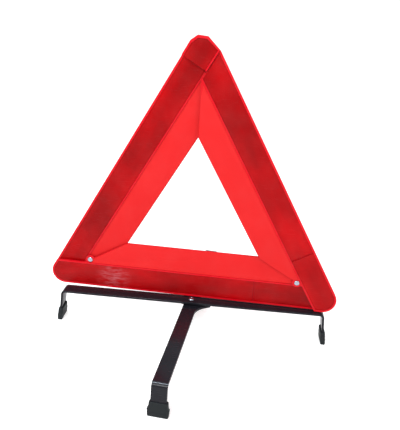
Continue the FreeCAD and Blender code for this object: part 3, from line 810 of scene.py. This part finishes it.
def read_places(frame: dict) -> Places:
    """Work the places out from the joints' pivots and a few nodes' boxes.

    A pivot lies 1.5 * pivot_in / sin 60 from the sharp corner, measured along the side.

    Args:
        frame: What the frame's loading returns.

    Returns:
        The places.
    """
    pivots = {joint["name"]: np.array(joint["pos_m"]) / MM for joint in frame["joints"]}
    axes = {joint["name"]: joint["axis"] for joint in frame["joints"]}
    left, right, leg = (pivots[name] for name in ("left_arm_fold", "right_arm_fold", "cross_leg_swivel"))
    bottom_low, bottom_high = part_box("bottom_arm_body")
    washer_low, washer_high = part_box("leg_washer")
    edge_height = bottom_low[2] / MM
    pivot_in = right[2] - edge_height
    return Places(left_back=left[1], right_back=right[1], bottom_back=bottom_high[1] / MM,
                  lean=math.degrees(math.asin(axes["left_arm_fold"][2])), edge_height=edge_height,
                  pivot_in=pivot_in, side=2 * (right[0] + 1.5 * pivot_in / SIN_60), hub=leg[0],
                  side_leg_top=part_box("leg_side_to_side")[1][2] / MM, cross_leg_top=leg[2],
                  washer_low=washer_low[2] / MM, washer_high=washer_high[2] / MM)


@dataclass
class Arm:
    """One arm of the triangle: a tray with a raised strip, its reflector and its bright panel."""

    name: str
    layout: ArmLayout
    body: str
    start: EndKind
    finish: EndKind
    lens_turn: int
    joint: float | None = None
    lens_names: tuple[str, ...] = ("reflector",)
    notch_start: float | None = None
    notch_finish: float | None = None
    lens_low: float = 2.2
    lens_high: float = 4.0
    lens_outer: float = 2.95
    lens_inner: float = 36.75
    lens_under: float = 31.6
    lens_capped: float = 40.2
    lens_round: float = 17.0
    lens_heel: float = 1.2
    lens_corner: float = 0.7
    lens_edge: float = 0.5
    joint_gap: float = 0.7
    panel_outer: float = 39.3
    panel_inner: float = 77.5
    panel_low: float = 2.2
    panel_high: float = 3.1
    panel_edge: float = 0.25
    panel_under: tuple[float, float] = (65.5, 27.3)
    panel_over: float = 78.1
    panel_knee: tuple[float, float] = (50.0, 50.6)
    panel_toe: float = 45.0
    edge_round: float = 0.4
    rib_rows: tuple[float, ...] = (14.0, 34.0, 50.0, 70.0)
    rib_half: float = 0.8
    rib_height: float = 0.35
    rib_sunk: float = 0.5
    rib_edge: float = 0.25
    rib_clear: float = 8.0
    rib_under: float = 46.0
    rib_pitch: float = 36.0

    def lens_end(self, end: int, kind: EndKind) -> list[np.ndarray]:
        """Corners of a reflector's end.

        Args:
            end: -1 for the start, 1 for the finish.
            kind: How the end meets its neighbour.

        Returns:
            The inner corner and the outer corner.
        """
        stops = {EndKind.OVER: self.lens_outer, EndKind.UNDER: self.lens_under,
                 EndKind.CAPPED: self.lens_capped}
        stop = stops[kind]
        return [self.layout.corner(end, own, stop) for own in (self.lens_inner, self.lens_outer)]

    def lens_joint(self, side: int) -> list[np.ndarray]:
        """Square end of a reflector at the joint; `side` is +1 on the joint's right."""
        x = self.joint + side * self.joint_gap
        return [np.array([x, own]) for own in (self.lens_inner, self.lens_outer)]

    def lens_outline(self, start: list[np.ndarray], finish: list[np.ndarray], over: bool) -> np.ndarray:
        """Outline of one reflector, rounded at an end that lies over its neighbour.

        Args:
            start: Corners of its start.
            finish: Corners of its finish.
            over: Whether its start turns round the triangle's corner.

        Returns:
            Closed outline.
        """
        radii = dict.fromkeys(range(4), self.lens_corner)
        if over:
            radii |= {2: self.lens_round, 3: self.lens_heel}
        return anticlockwise(rounded_outline(finish + start[::-1], radii))

    def panel_end(self, end: int, kind: EndKind, notch: float | None) -> np.ndarray:
        """Run of the panel's outline round one end, from its inner edge to its outer edge.

        Args:
            end: -1 for the start, 1 for the finish.
            kind: How the end meets its neighbour.
            notch: Radius of the notch round the pivot, if there is one.

        Returns:
            Points of the run.
        """
        corner = self.layout.corner
        pivot = self.layout.pivot(end)
        middle = np.array([0.0, self.panel_outer])
        if kind is EndKind.UNDER:
            inner_stop, outer_stop = self.panel_under
            run = [corner(end, self.panel_inner, inner_stop), corner(end, self.panel_outer, outer_stop)]
            if notch is None:
                return np.array(run)
            outer = line_meets_circle(run[1], middle, pivot, notch)
            inner = line_meets_circle(middle, run[1], pivot, notch)
            return np.concatenate([run, arc_between(pivot, outer, inner, long_way=True)])
        run = [corner(end, self.panel_inner, self.panel_over), corner(end, *self.panel_knee)]
        toe = corner(end, self.panel_outer, self.panel_toe)
        if notch is None:
            return np.array(run + [toe])
        first = line_meets_circle(run[1], toe, pivot, notch)
        last = line_meets_circle(middle, toe, pivot, notch)
        return np.concatenate([run, arc_between(pivot, first, last)])

    def back_ribs(self) -> list[Shell]:
        """Low stiffening ribs on the arm's back: rows along it and bars across it.

        Returns:
            One shell for each rib, sunk a little into the tray.
        """
        boxes = []
        for row in self.rib_rows:
            stops = [row if kind is EndKind.OVER else max(row, self.rib_under)
                     for kind in (self.start, self.finish)]
            left, right = (self.layout.corner(end, row, stop + self.rib_clear)[0]
                           for end, stop in zip((START, FINISH), stops))
            boxes.append((left, right, row - self.rib_half, row + self.rib_half))
        for x in self.rib_pitch * np.arange(-2.5, 3.0):
            boxes.append((x - self.rib_half, x + self.rib_half, self.rib_rows[0], self.rib_rows[-1]))
        shells = []
        for left, right, low, high in boxes:
            outline = np.array([(left, low), (right, low), (right, high), (left, high)])
            shells.append(plate_shell(outline, -self.rib_height, self.rib_sunk, self.rib_edge))
        return shells

    def build(self, finishes: Finishes) -> None:
        """Make the tray, its reflectors and its panel.

        Args:
            finishes: The materials.
        """
        tray = f"{self.name}_body"
        piece = softened_copy(f"{self.name}_tray", tray, self.edge_round)
        settle(piece, self.body, "arm_plastic", finishes["edging"], tray)
        piece = make_piece(f"{self.name}_back_ribs", self.back_ribs(), self.layout.place)
        settle(piece, self.body, "arm_plastic", finishes["edging"])
        over = self.start is EndKind.OVER
        ends = [self.lens_end(START, self.start), self.lens_end(FINISH, self.finish)]
        if self.joint is not None:
            runs = [(ends[0], self.lens_joint(-1), over), (self.lens_joint(1), ends[1], False)]
        else:
            runs = [(ends[0], ends[1], over)]
        for label, (first, last, rounded) in zip(self.lens_names, runs):
            outline = self.lens_outline(first, last, rounded)
            shell = plate_shell(outline, self.lens_low, self.lens_high, self.lens_edge)
            piece = make_piece(f"{self.name}_{label}_lens", [shell], self.layout.place)
            finish = finishes[f"lens_{self.lens_turn}"]
            settle(piece, self.body, "reflector", finish, f"{self.name}_{label}")
        finish_run = self.panel_end(FINISH, self.finish, self.notch_finish)
        start_run = self.panel_end(START, self.start, self.notch_start)
        outline = anticlockwise(np.concatenate([finish_run, start_run[::-1]]))
        shell = plate_shell(outline, self.panel_low, self.panel_high, self.panel_edge)
        piece = make_piece(f"{self.name}_panel_sheet", [shell], self.layout.place)
        settle(piece, self.body, "bright_panel", finishes["bright"], f"{self.name}_panel")


def softened_copy(name: str, node: str, width: float) -> bpy.types.Object:
    """Copy of a CAD node's mesh with its doubles merged, flat areas joined and edges rounded.

    Args:
        name: Name of the piece.
        node: The CAD node.
        width: Width of the rounded edges, in millimetres.

    Returns:
        The object.
    """
    mesh = bpy.data.meshes.new(name)
    work = bmesh.new()
    work.from_mesh(bpy.data.objects[node].data)
    bmesh.ops.remove_doubles(work, verts=work.verts, dist=1e-6)
    bmesh.ops.dissolve_limit(work, angle_limit=math.radians(0.5), verts=work.verts, edges=work.edges)
    bmesh.ops.recalc_face_normals(work, faces=work.faces)
    work.to_mesh(mesh)
    work.free()
    mesh.materials.clear()
    mesh.polygons.foreach_set("use_smooth", np.ones(len(mesh.polygons), dtype=bool))
    mesh.set_sharp_from_angle(angle=math.radians(32))
    piece = bpy.data.objects.new(name, mesh)
    bpy.context.scene.collection.objects.link(piece)
    bevel = piece.modifiers.new("rounded edges", "BEVEL")
    bevel.width = width * MM
    bevel.segments = 3
    bevel.limit_method = "ANGLE"
    bevel.angle_limit = math.radians(35)
    bevel.harden_normals = True
    return piece


@dataclass
class TopCap:
    """Cap that carries the left strip on over the right arm's upper end.

    Each of its reflector's corners is given by its distance from the cap's own outer edge, its
    distance from the neighbour's, and its radius.
    """

    layout: ArmLayout
    body: str = "right_arm"
    lens_low: float = 4.4
    lens_high: float = 6.2
    lens_edge: float = 0.5
    lens_corners: tuple[tuple[float, float, float], ...] = (
        (36.75, 29.2, 0.7), (36.75, 2.95, 1.6), (17.4, 9.2, 3.0), (7.2, 19.2, 3.0), (2.95, 30.2, 2.0),
        (2.95, 46.1, 0.7))
    edge_round: float = 0.5

    def build(self, finishes: Finishes) -> None:
        """Make the cap and its reflector.

        Args:
            finishes: The materials.
        """
        piece = softened_copy("top_cap_shell", "top_cap", self.edge_round)
        settle(piece, self.body, "arm_plastic", finishes["edging"], "top_cap")
        corners = [self.layout.corner(START, own, other) for own, other, _ in self.lens_corners]
        radii = {index: radius for index, (_, _, radius) in enumerate(self.lens_corners)}
        outline = rounded_outline(corners, radii)
        shell = plate_shell(outline, self.lens_low, self.lens_high, self.lens_edge)
        piece = make_piece("top_cap_lens", [shell], self.layout.place)
        settle(piece, self.body, "reflector", finishes["lens_60"], "top_cap_reflector")


# ------------------------------------------------------------------ rivets and pins


def domed_rivet(low: float, high: float, pin: float, head: float, low_height: float,
                high_height: float) -> Shell:
    """Rivet turned about z.  A head's profile is a quarter ellipse, head * sin t wide and
    height * cos t proud, and its crown has a shallow ring-shaped dimple.

    Args:
        low: Seat of the lower head.
        high: Seat of the upper head.
        pin: Radius of the pin.
        head: Radius of the heads.
        low_height: Height of the lower head.
        high_height: Height of the upper head.

    Returns:
        The shell.
    """
    turn = np.linspace(0.36, 1.0, 9) * math.pi / 2
    wide = head * np.sin(turn)
    proud = 0.15 + 0.85 * np.cos(turn)
    dimple = [(0.18 * head, 0.62), (0.34 * head, 0.66), (0.46 * head, 0.84)]
    crown = dimple + list(zip(wide.tolist(), proud.tolist()))[1:]
    lower = [(radius, low - rise * low_height) for radius, rise in crown] + [(head * 0.99, low)]
    upper = [(radius, high + rise * high_height) for radius, rise in crown] + [(head * 0.99, high)]
    return turned_shell(lower + [(pin, low), (pin, high)] + upper[::-1])


def ring_shell(inner: float, outer: float, low: float, high: float, edge: float, sides: int = 40) -> Shell:
    """Flat ring turned about z, with small chamfers on its outer edges.

    Args:
        inner: Radius of the hole.
        outer: Outer radius.
        low: Lower face.
        high: Upper face.
        edge: Size of the chamfers.
        sides: Points in each ring.

    Returns:
        The shell.
    """
    profile = [(inner, low), (outer - edge, low), (outer, low + edge), (outer, high - edge),
               (outer - edge, high), (inner, high)]
    shell = turned_shell(profile, sides)
    faces = shell.faces[:-2]
    last = (len(profile) - 1) * sides
    faces += [(last + i, last + (i + 1) % sides, (i + 1) % sides, i) for i in range(sides)]
    return Shell(shell.points, faces)


@dataclass
class Pivot:
    """Rivet and spacer that hold a folding arm to the bottom arm."""

    name: str
    layout: ArmLayout
    end: int
    low: float
    high: float
    low_height: float
    high_height: float
    spacer_low: float
    spacer_high: float
    pin: float = 2.0
    head: float = 4.0
    spacer_radius: float = 4.6

    def place(self, points: np.ndarray) -> np.ndarray:
        """Points turned about the pivot's own axis, moved to the pivot."""
        centre = np.append(self.layout.pivot(self.end), 0.0)
        return self.layout.place(points + centre)

    def build(self, finishes: Finishes) -> None:
        """Make the rivet and the spacer.

        Args:
            finishes: The materials.
        """
        shell = domed_rivet(self.low, self.high, self.pin, self.head, self.low_height, self.high_height)
        piece = make_piece(f"{self.name}_rivet_turned", [shell], self.place)
        settle(piece, "base", "rivet_steel", finishes["rivet"], f"{self.name}_rivet")
        shell = ring_shell(self.pin + 0.1, self.spacer_radius, self.spacer_low, self.spacer_high, 0.2)
        piece = make_piece(f"{self.name}_spacer_ring", [shell], self.place)
        settle(piece, "base", "spacer_plastic", finishes["spacer"], f"{self.name}_spacer")


# ------------------------------------------------------------------ legs and feet


@dataclass
class LegShape:
    """A steel strip bent down at both ends, and the caps on those ends."""

    name: str
    body: str
    reach: float
    top: float
    angle: float
    hub: float
    width: float = 20.8
    thick: float = 3.4
    splay: float = 6.0
    bend: float = 7.0
    end: float = 3.0
    edge_round: float = 0.55

    def half_path(self) -> np.ndarray:
        """Middle line of the strip's right half: level, then an arc about the bend's centre from
        straight up to the splayed side's normal, then straight down to the strip's end.

        Returns:
            Points (x, z) and the angle of the strip's outward normal at each.
        """
        splay = math.radians(self.splay)
        sharp = self.reach - self.top * math.tan(splay)
        centre = (sharp - self.bend * math.tan(math.radians(45) - splay / 2), self.top - self.bend)
        arc = arc_points(centre, self.bend - self.thick / 2, 90, self.splay, 18)
        turn = np.radians(np.linspace(90, self.splay, 19))
        foot = (self.reach - self.end * math.tan(splay) - self.thick / 2 / math.cos(splay), self.end)
        return np.vstack([np.column_stack([arc, turn]), [[foot[0], foot[1], splay]]])

    def turned(self, points: np.ndarray) -> np.ndarray:
        """Points turned by the leg's angle and moved to the leg rivet.

        Args:
            points: Points drawn with the leg along X.

        Returns:
            Points in the part's frame.
        """
        cos = math.cos(math.radians(self.angle))
        sin = math.sin(math.radians(self.angle))
        return np.column_stack([points[:, 0] * cos - points[:, 1] * sin + self.hub,
                                points[:, 0] * sin + points[:, 1] * cos, points[:, 2]])

    def strip(self) -> Shell:
        """The strip: a rounded rectangle (u across, v through) carried along the middle line, each
        point at line + v * normal in the upright plane and u along Y.

        Returns:
            The shell.
        """
        right = self.half_path()
        left = right[::-1] * (-1, 1, -1) + (0, 0, math.pi)
        path = np.vstack([left, right])
        section = rounded_rectangle(self.width, self.thick, self.edge_round)
        rings = np.zeros((len(path), len(section), 3))
        rings[:, :, 0] = path[:, :1] + np.cos(path[:, 2:]) * section[None, :, 1]
        rings[:, :, 1] = section[None, :, 0]
        rings[:, :, 2] = path[:, 1:2] + np.sin(path[:, 2:]) * section[None, :, 1]
        return ringed_shell(rings)

    def build(self, finishes: Finishes) -> None:
        """Make the strip; the lower leg, with its webs and stop, keeps its CAD shape.

        Args:
            finishes: The materials.
        """
        if self.body == "base":
            piece = make_piece(f"{self.name}_strip", [self.strip()], self.turned)
        else:
            piece = softened_copy(f"{self.name}_strip", self.name, self.edge_round)
        settle(piece, self.body, "leg_enamel", finishes["enamel"], self.name)


@dataclass
class Foot:
    """Moulded cap on a leg's end, with a slot for the steel."""

    name: str
    leg: LegShape
    side: int
    wall: float = 2.0
    height: float = 20.0
    base_width: float = 27.4
    flare_width: float = 29.0
    top_width: float = 24.4
    play: float = 0.1

    def shell(self) -> Shell:
        """The cap as a stack of round-cornered rectangles.  Width follows a smooth curve through
        base, flare and top; each ring's middle follows the splayed leg; the rings turn in at the
        mouth and go down the slot.

        Returns:
            The shell.
        """
        slope = math.tan(math.radians(self.leg.splay))
        tilt = math.cos(math.radians(self.leg.splay))
        levels = np.array([0, 0.25, 0.8, 1.6, 3.2, 5.0, 6.8, 8.2, 9.1, 9.5, 9.9, 10.8, 12.4, 14.6, 17.0,
                           18.6, 19.4, 19.8, self.height])
        base, flare, top = self.base_width, self.flare_width, self.top_width
        width = np.interp(levels, [0, 3, 8.2, 9.1, 9.5, 9.9, 10.8, 14.0, self.height],
                          [base, base + 0.4, base + 0.8, flare - 0.3, flare, flare - 0.2, top + 2.4,
                           top + 0.8, top])
        tuck = np.interp(levels, [0, 0.25, 0.8, 1.6, 18.6, 19.4, 19.8, self.height],
                         [0.9, 0.4, 0.12, 0, 0, 0.12, 0.35, 0.8])
        depth = self.leg.thick / tilt + 2 * self.wall
        rings = [self.ring(level, wide - 2 * tucked, depth - 1.6 * tucked, 2.0 - min(tucked, 1.2))
                 for level, wide, tucked in zip(levels, width, tuck)]
        for level in (self.height, self.height - 0.5, self.leg.end):
            inner = self.leg.thick / tilt + 2 * self.play
            rings.append(self.ring(level, self.leg.width + 2 * self.play, inner, 0.6))
        points = np.array(rings)
        points[:, :, 0] += self.leg.reach - points[:, :, 2] * slope - self.leg.thick / 2 / tilt
        return ringed_shell(points)

    def ring(self, level: float, wide: float, deep: float, radius: float) -> np.ndarray:
        """One ring about the leg's middle: `deep` along the leg's run and `wide` across it."""
        flat = rounded_rectangle(deep, wide, radius, 5)
        return np.column_stack([flat, np.full(len(flat), level)])

    def place(self, points: np.ndarray) -> np.ndarray:
        """Points turned to this end of the leg."""
        return self.leg.turned(points * (self.side, self.side, 1))

    def build(self, finishes: Finishes) -> None:
        """Make the cap.

        Args:
            finishes: The materials.
        """
        piece = make_piece(f"{self.name}_cap", [self.shell()], self.place, 42)
        settle(piece, self.leg.body, "foot_plastic", finishes["foot"], self.name)


@dataclass
class LegHub:
    """Bracket under the bottom arm, its two drive pins, and the rivet that the lower leg turns on."""

    hub: float
    lower_seat: float
    upper_seat: float
    washer_low: float
    washer_high: float
    pin: float = 2.4
    head: float = 4.3
    lower_head: float = 1.5
    upper_head: float = 2.2
    washer: float = 7.0
    pin_apart: float = 9.0
    pin_height: float = 57.6
    pin_seat: float = 12.5
    drive_pin: float = 1.25
    drive_length: float = 3.3
    drive_head: float = 2.2

    def place(self, points: np.ndarray) -> np.ndarray:
        """Points drawn about the leg rivet, moved to it."""
        return points + (self.hub, 0.0, 0.0)

    def build(self, finishes: Finishes) -> None:
        """Make the bracket, the pins, the washer and the rivet.

        Args:
            finishes: The materials.
        """
        piece = softened_copy("leg_bracket_plate", "leg_bracket", 0.25)
        settle(piece, "base", "leg_enamel", finishes["enamel"], "leg_bracket")
        shell = domed_rivet(self.lower_seat, self.upper_seat, self.pin, self.head, self.lower_head,
                            self.upper_head)
        piece = make_piece("leg_rivet_turned", [shell], self.place)
        settle(piece, "base", "rivet_steel", finishes["rivet"], "leg_rivet")
        shell = ring_shell(self.pin + 0.05, self.washer, self.washer_low, self.washer_high, 0.12)
        piece = make_piece("leg_washer_ring", [shell], self.place)
        settle(piece, "base", "rivet_steel", finishes["rivet"], "leg_washer")
        pins = [self.drive_shell(side) for side in (-1, 1)]
        piece = make_piece("bracket_drive_pins_turned", pins, self.place)
        settle(piece, "base", "rivet_steel", finishes["rivet"], "bracket_drive_pins")

    def drive_shell(self, side: int) -> Shell:
        """One drive pin, turned about z and then laid along Y, head to the back.

        Args:
            side: -1 for the left pin, 1 for the right.

        Returns:
            The shell.
        """
        tip = -self.drive_length
        profile = [(0.4, tip), (self.drive_pin - 0.15, tip), (self.drive_pin, tip + 0.2),
                   (self.drive_pin, 0.01),
                   (self.drive_head - 0.1, 0.0), (self.drive_head, 0.12), (self.drive_head, 0.35),
                   (self.drive_head * 0.86, 0.68), (self.drive_head * 0.55, 0.88), (0.5, 0.9)]
        shell = turned_shell(profile, 28)
        x, y, z = shell.points.T
        points = np.column_stack([x + side * self.pin_apart, z + self.pin_seat, self.pin_height - y])
        return Shell(points, shell.faces)


# ------------------------------------------------------------------ studio


@dataclass(frozen=True)
class Camera:
    """Camera: its place in millimetres, how it is turned, and its view."""

    place: tuple[float, float, float] = (80.6, -701.8, 476.5)
    yaw: float = 5.83
    pitch: float = 21.98
    roll: float = 3.28
    lens: float = 47.5

    def build(self) -> None:
        """Make the camera.  It looks along the yawed and pitched line, and is then rolled."""
        yaw, pitch, roll = (math.radians(angle) for angle in (self.yaw, self.pitch, self.roll))
        level = math.cos(pitch)
        forward = np.array([-math.sin(yaw) * level, math.cos(yaw) * level, -math.sin(pitch)])
        right = np.array([math.cos(yaw), math.sin(yaw), 0.0])
        up = np.cross(right, forward)
        rolled_right = right * math.cos(roll) + up * math.sin(roll)
        rolled_up = up * math.cos(roll) - right * math.sin(roll)
        matrix = np.eye(4)
        matrix[:3, 0] = rolled_right
        matrix[:3, 1] = rolled_up
        matrix[:3, 2] = -forward
        matrix[:3, 3] = np.array(self.place) * MM
        data = bpy.data.cameras.new("camera")
        data.sensor_fit = "HORIZONTAL"
        data.sensor_width = 36.0
        data.lens = self.lens
        camera = bpy.data.objects.new("camera", data)
        bpy.context.scene.collection.objects.link(camera)
        camera.matrix_world = matrix.T.tolist()
        bpy.context.scene.camera = camera


@dataclass(frozen=True)
class SoftLight:
    """A large soft light that faces the triangle."""

    name: str
    place: tuple[float, float, float]
    size: float
    power: float
    colour: tuple[float, float, float] = (1.0, 1.0, 1.0)

    def build(self, target: np.ndarray) -> None:
        """Make the light, pointed at the target.

        Args:
            target: Point that it faces, in metres.
        """
        data = bpy.data.lights.new(self.name, "AREA")
        data.shape = "DISK"
        data.size = self.size
        data.energy = self.power
        data.color = self.colour
        light = bpy.data.objects.new(self.name, data)
        bpy.context.scene.collection.objects.link(light)
        back = np.array(self.place) - target
        back = back / np.linalg.norm(back)
        side = np.cross((0.0, 0.0, 1.0), back)
        side = side / np.linalg.norm(side)
        matrix = np.eye(4)
        matrix[:3, 0] = side
        matrix[:3, 1] = np.cross(back, side)
        matrix[:3, 2] = back
        matrix[:3, 3] = self.place
        light.matrix_world = matrix.T.tolist()


@dataclass
class Studio:
    """Pale floor, soft lights and a pale surround."""

    floor_half: float = 5.0
    floor_glow: float = 0.40
    surround: Colour = (0.60, 0.61, 0.63, 1)
    backdrop: Colour = (1.0, 1.0, 0.985, 1)
    camera: Camera = Camera()
    lights: tuple[SoftLight, ...] = (
        SoftLight("key", (-1.1, -1.5, 1.9), 1.6, 26.0),
        SoftLight("fill", (1.6, -1.1, 1.2), 1.8, 12.0),
        SoftLight("back", (0.3, 0.95, 2.5), 1.6, 14.0),
        SoftLight("front", (-0.2, -1.25, 1.05), 0.35, 5.0),
        SoftLight("top", (-0.35, -0.2, 1.9), 0.3, 12.0, (0.78, 0.88, 1.0)),
    )

    def sweep(self) -> Shell:
        """Floor that runs level in all directions and turns up a long way off: height grows with
        the square of the distance past the flat part.

        Returns:
            The surface, in metres.
        """
        distance = np.concatenate([[0.0, 0.4], np.linspace(1.5, self.floor_half, 12)])
        turn = np.linspace(0, 2 * math.pi, 48, endpoint=False)
        points = np.zeros((len(distance), len(turn), 3))
        points[:, :, 0] = distance[:, None] * np.cos(turn)
        points[:, :, 1] = distance[:, None] * np.sin(turn)
        points[:, :, 2] = 0.22 * np.maximum(distance - 1.5, 0)[:, None] ** 2
        return Shell(points.reshape(-1, 3), grid_faces(len(distance), len(turn)))

    def build(self, target: np.ndarray) -> None:
        """Make the floor, the lights, the surround and the camera.

        Args:
            target: Middle of the object, in metres.
        """
        mesh = bpy.data.meshes.new("floor")
        sweep = self.sweep()
        mesh.from_pydata(sweep.points.tolist(), [], sweep.faces)
        mesh.polygons.foreach_set("use_smooth", np.ones(len(mesh.polygons), dtype=bool))
        floor = bpy.data.objects.new("floor", mesh)
        bpy.context.scene.collection.objects.link(floor)
        material = bpy.data.materials.new("floor_white")
        material.use_nodes = True
        shader = material.node_tree.nodes["Principled BSDF"]
        shader.inputs["Base Color"].default_value = (0.93, 0.93, 0.92, 1)
        shader.inputs["Roughness"].default_value = 0.9
        shader.inputs["Specular IOR Level"].default_value = 0.1
        shader.inputs["Emission Color"].default_value = self.backdrop
        nodes = Nodes(material.node_tree)
        seen = nodes.add("ShaderNodeLightPath").outputs["Is Camera Ray"]
        nodes.link(nodes.math("MULTIPLY", seen, self.floor_glow), shader.inputs["Emission Strength"])
        mesh.materials.append(material)
        floor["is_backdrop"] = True
        world = bpy.data.worlds.new("surround")
        world.use_nodes = True
        nodes = Nodes(world.node_tree)
        seen = nodes.add("ShaderNodeLightPath").outputs["Is Camera Ray"]
        sky = world.node_tree.nodes["Background"]
        nodes.link(nodes.mix(seen, self.surround, self.backdrop), sky.inputs["Color"])
        bpy.context.scene.world = world
        bpy.context.scene.view_settings.view_transform = "Standard"
        for light in self.lights:
            light.build(target)
        self.camera.build()
        log.info("studio: %d lights", len(self.lights))


def build_arms(places: Places, finishes: Finishes) -> None:
    """Make the three arms, the top cap and the pivots.

    Args:
        places: Where the frame has them.
        finishes: The materials.
    """
    bottom = places.layout(0, places.bottom_back)
    right = places.layout(120, places.right_back, -places.lean)
    left = places.layout(240, places.left_back, places.lean)
    Arm("bottom_arm", bottom, "base", EndKind.OVER, EndKind.UNDER, lens_turn=0, joint=97.0,
        lens_names=("reflector_long", "reflector_short"), notch_start=5.0, notch_finish=5.2).build(finishes)
    Arm("right_arm", right, "right_arm", EndKind.OVER, EndKind.CAPPED, lens_turn=120, joint=-123.0,
        lens_names=("reflector_short", "reflector_long"), notch_start=5.0).build(finishes)
    Arm("left_arm", left, "left_arm", EndKind.UNDER, EndKind.UNDER, lens_turn=60,
        notch_finish=5.2).build(finishes)
    TopCap(places.layout(240, places.right_back, -places.lean)).build(finishes)
    Pivot("left_pivot", left, FINISH, low=-0.05, high=7.25, low_height=1.5, high_height=1.5,
          spacer_low=2.25, spacer_high=4.95).build(finishes)
    Pivot("right_pivot", right, START, low=-3.8, high=2.25, low_height=1.1, high_height=1.5,
          spacer_low=-2.75, spacer_high=-0.05).build(finishes)


def build_legs(places: Places, finishes: Finishes) -> None:
    """Make both legs, their four feet, and the bracket and rivet at their crossing.

    Args:
        places: Where the frame has them.
        finishes: The materials.
    """
    side_leg = LegShape("leg_side_to_side", "base", 207.4, places.side_leg_top, 2.0, places.hub)
    cross_leg = LegShape("leg_front_to_back", "cross_leg", 199.4, places.cross_leg_top, -93.5, places.hub)
    for leg, names in ((side_leg, ("foot_right", "foot_left")), (cross_leg, ("foot_front", "foot_rear"))):
        leg.build(finishes)
        for side, name in zip((1, -1), names):
            Foot(name, leg, side).build(finishes)
    lower_seat = places.cross_leg_top - cross_leg.thick - LEG_PLAY
    LegHub(places.hub, lower_seat, places.side_leg_top, places.washer_low, places.washer_high).build(finishes)


def main() -> None:
    """Load the frame, build each sub-assembly in order and work out the two boxes."""
    logging.basicConfig(level=logging.INFO, format="%(name)s: %(message)s")
    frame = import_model()
    cad_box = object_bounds()
    places = read_places(frame)
    Studio().build((np.array(cad_box[0]) + np.array(cad_box[1])) / 2)
    finishes = Finishes()
    finishes.make()
    build_arms(places, finishes)
    build_legs(places, finishes)
    boxes = {"cad": cad_box, "visual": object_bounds()}
    {name: [list(corner) for corner in box] for name, box in boxes.items()}


if __name__ == "__main__":
    main()
